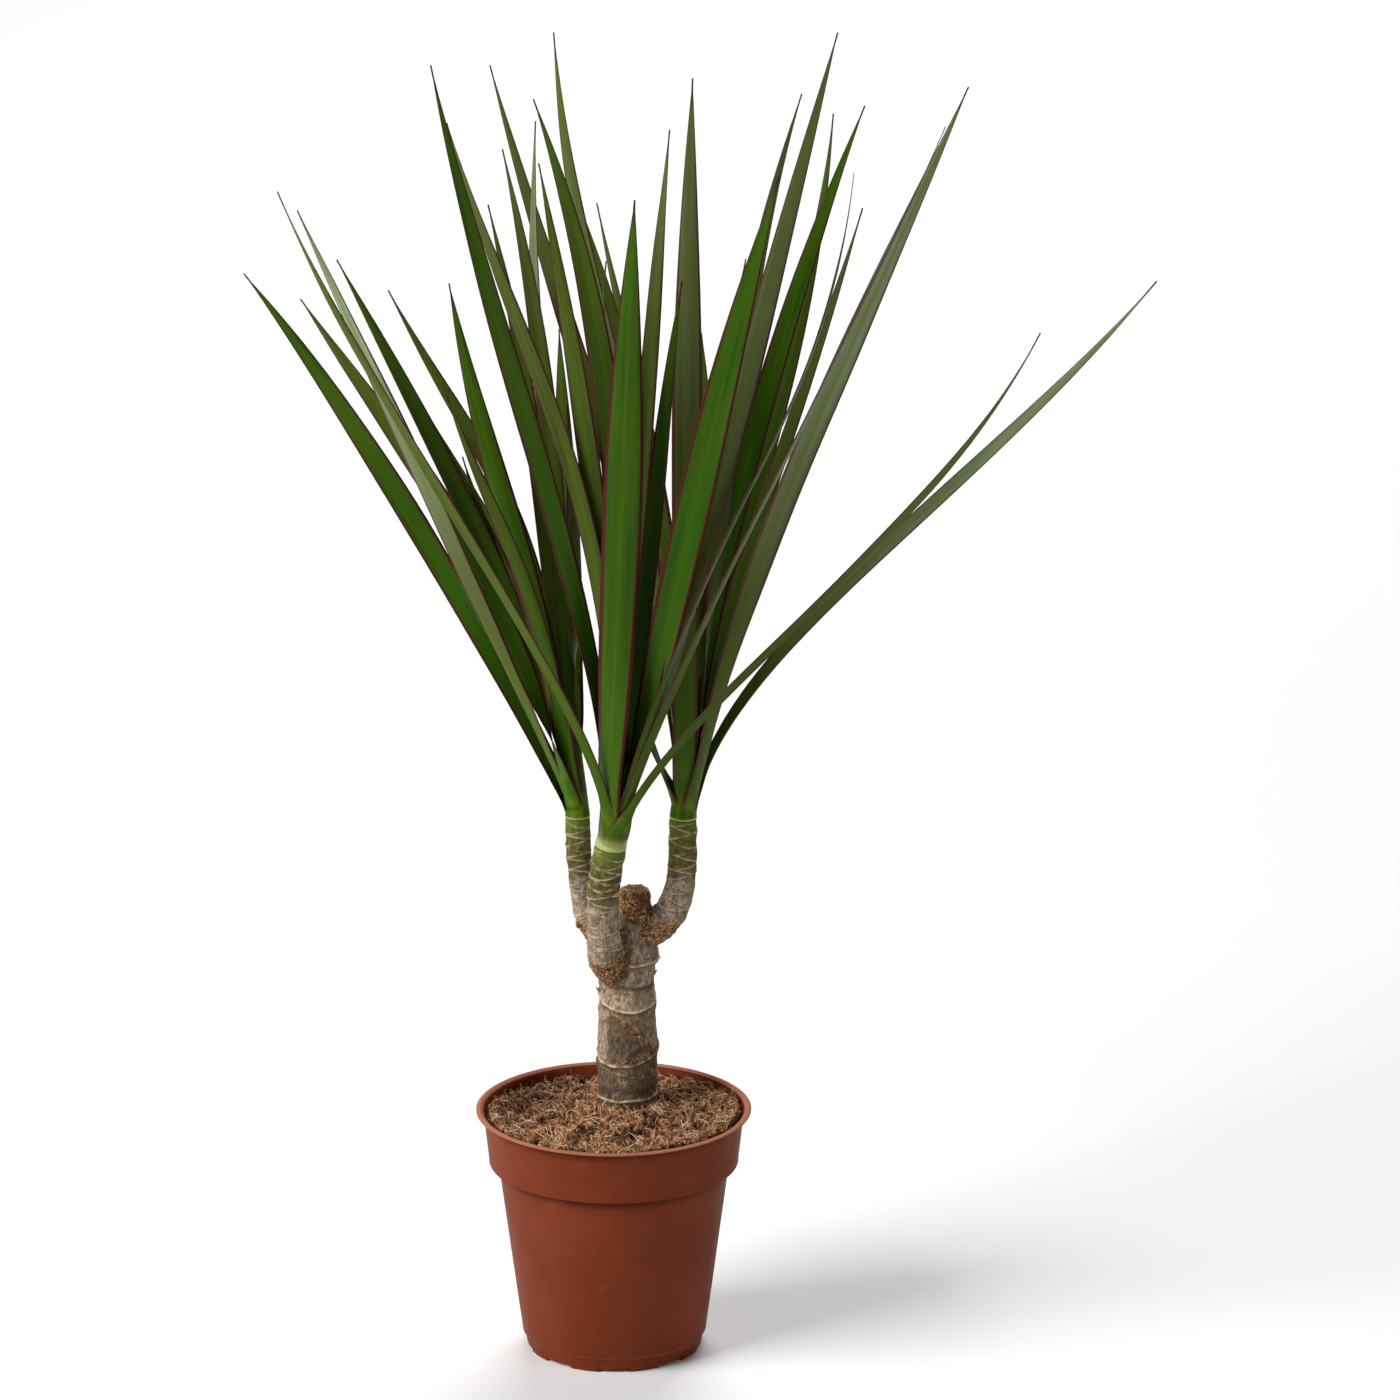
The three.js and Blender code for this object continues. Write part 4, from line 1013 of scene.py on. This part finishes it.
# greens of the bands along a leaf, from the deepest leaf to the palest
LEAF_GREENS = [
    ((0.011, 0.052, 0.0003), (0.022, 0.082, 0.0005)), ((0.048, 0.064, 0.008), (0.07, 0.088, 0.015)),
    ((0.108, 0.122, 0.055), (0.14, 0.152, 0.074)), ((0.19, 0.23, 0.125), (0.24, 0.29, 0.165)),
]
PALE_STEP, MAROONS, BROWN_TIP = 0.35, ((0.052, 0.0085, 0.0065), (0.085, 0.042, 0.03)), (0.04, 0.02, 0.011)


def leaf_material():
    material, tree, shader, where = new_material("leaf_green", 0.38, 0.07)
    margin, across, root, tip, upper, tone, pale, climb, wan = carried(tree, *LEAF_FACTS, "climb", "wan")
    from_middle = maths(tree, "ABSOLUTE", across)
    vein_at = wire(tree, "ShaderNodeCombineXYZ", {0: across, 1: times(tree, tone, 40.0), 2: root}).outputs[0]
    veins = use(tree, STREAKS, vein_at, 2.2, 120, 0.38, 0.64)
    bands = use(tree, STREAKS, vein_at, 0.3, 50, 0.35, 0.66)
    # paler away from the root, as far as the leaf's paleness goes
    paler_from_root = times(tree, pale, ranged(tree, root, 30, 230, 0.3, 1.0))
    paler = maths(tree, "MULTIPLY_ADD", maths(tree, "SUBTRACT", 1.0, upper), 0.05, paler_from_root)
    greens = [blend_colour(tree, bands["Mask"], *pair) for pair in LEAF_GREENS]
    colour = greens[0]
    for number, green in enumerate(greens[1:]):
        share = ranged(tree, paler, PALE_STEP * number, PALE_STEP * (number + 1), course="LINEAR")
        colour = blend_colour(tree, share, colour, green)
    rib = times(tree, ranged(tree, from_middle, 0.9, 0.2), ranged(tree, upper, 0, 1, 0.35, 0.18))
    sap = times(tree, lined(tree, where, 240, 2.5, 0.42, 0.66), 0.7)
    up_foot = maths(tree, "DIVIDE", climb, wan)
    colour = coats(
        tree, colour,
        (lined(tree, vein_at, 0.09, 5, 0.35, 0.65), 0.28, (0.06, 0.105, 0.002)),
        (veins["Mask"], 0.18, (0.052, 0.105, 0.004)), (rib, 1.0, (0.058, 0.118, 0.004)),
        (ranged(tree, root, 110, 12), 0.55, (0.034, 0.088, 0.0008)),
        (ranged(tree, climb, 38, 4), sap, (0.1, 0.15, 0.006)),
        (ranged(tree, up_foot, 1.4, 0.1), 0.8, (0.42, 0.45, 0.17)))
    inward = maths(tree, "DIVIDE", margin, maths(tree, "ADD", margin, from_middle))
    uneven = ranged(tree, bands["Raw"], 0.3, 0.7, 0.8, 1.2)
    reach = times(tree, ranged(tree, root, 50, 300, 0.22, 0.16), uneven)
    edge = ranged(tree, maths(tree, "DIVIDE", inward, reach), 1.25, 0.8)
    red = times(tree, edge, ranged(tree, root, 1.0, 5.0))
    colour = blend_colour(tree, red, colour, blend_colour(tree, pale, *MAROONS))
    colour = blend_colour(tree, ranged(tree, tip, 16, 3), colour, BROWN_TIP)
    tree.links.new(colour, shader["Base Color"])
    tree.links.new(ranged(tree, veins["Raw"], 0.3, 0.7, 0.34, 0.5), shader["Roughness"])
    relief(tree, shader, veins["Raw"], 0.2 * MM, 0.45)
    return material


leaf_green = leaf_material()
for side_name in HEADS:
    dress(head_of_leaves(side_name), f"{side_name}_head", leaf_green)

# ---------------------------------------------------------------- the studio
# A seamless pale floor under soft light from a large lamp on the left in front, with a weaker one on
# the right and an even glow from all round.
FLOOR_HALF = 12
floor_mesh = bpy.data.meshes.new("studio_floor")
floor_mesh.from_pydata([(-FLOOR_HALF, -FLOOR_HALF, 0), (FLOOR_HALF, -FLOOR_HALF, 0),
                        (FLOOR_HALF, FLOOR_HALF, 0), (-FLOOR_HALF, FLOOR_HALF, 0)], [], [(0, 1, 2, 3)])
floor = bpy.data.objects.new("studio_floor", floor_mesh)
bpy.context.scene.collection.objects.link(floor)
paper, _, paper_shader, _ = new_material("studio_paper", 0.9, 0.1)
paper_shader["Base Color"].default_value = (0.9, 0.9, 0.9, 1)
floor_mesh.materials.append(paper)

world = bpy.data.worlds.new("studio_air")
world.use_nodes = True
air = world.node_tree
upward = wire(air, "ShaderNodeSeparateXYZ", {0: air.nodes.new("ShaderNodeTexCoord").outputs["Generated"]})
wall = ranged(air, upward.outputs[2], 0.2, 0.6, 1.0, 0.3)
from_left = ranged(air, upward.outputs[0], 0.15, 0.95, 1.0, 0.35)
air.links.new(times(air, wall, from_left), air.nodes["Background"].inputs["Strength"])
bpy.context.scene.world = world
for name, place, size, power in (
        ("key_lamp", (-2.2, -1.1, 1.6), 1.8, 112), ("fill_lamp", (1.9, -1.3, 1.2), 1.4, 12),
        ("floor_lamp", (0.6, 3.4, 3.6), 3.0, 190)):
    lamp_data = bpy.data.lights.new(name, "AREA")
    lamp_data.size, lamp_data.energy = size, power
    lamp = bpy.data.objects.new(name, lamp_data)
    lamp.location = place
    lamp.rotation_euler = (Vector((0, 0, 0.3)) - Vector(place)).to_track_quat("-Z", "Y").to_euler()
    bpy.context.scene.collection.objects.link(lamp)
bpy.context.scene.view_settings.view_transform = "Standard"
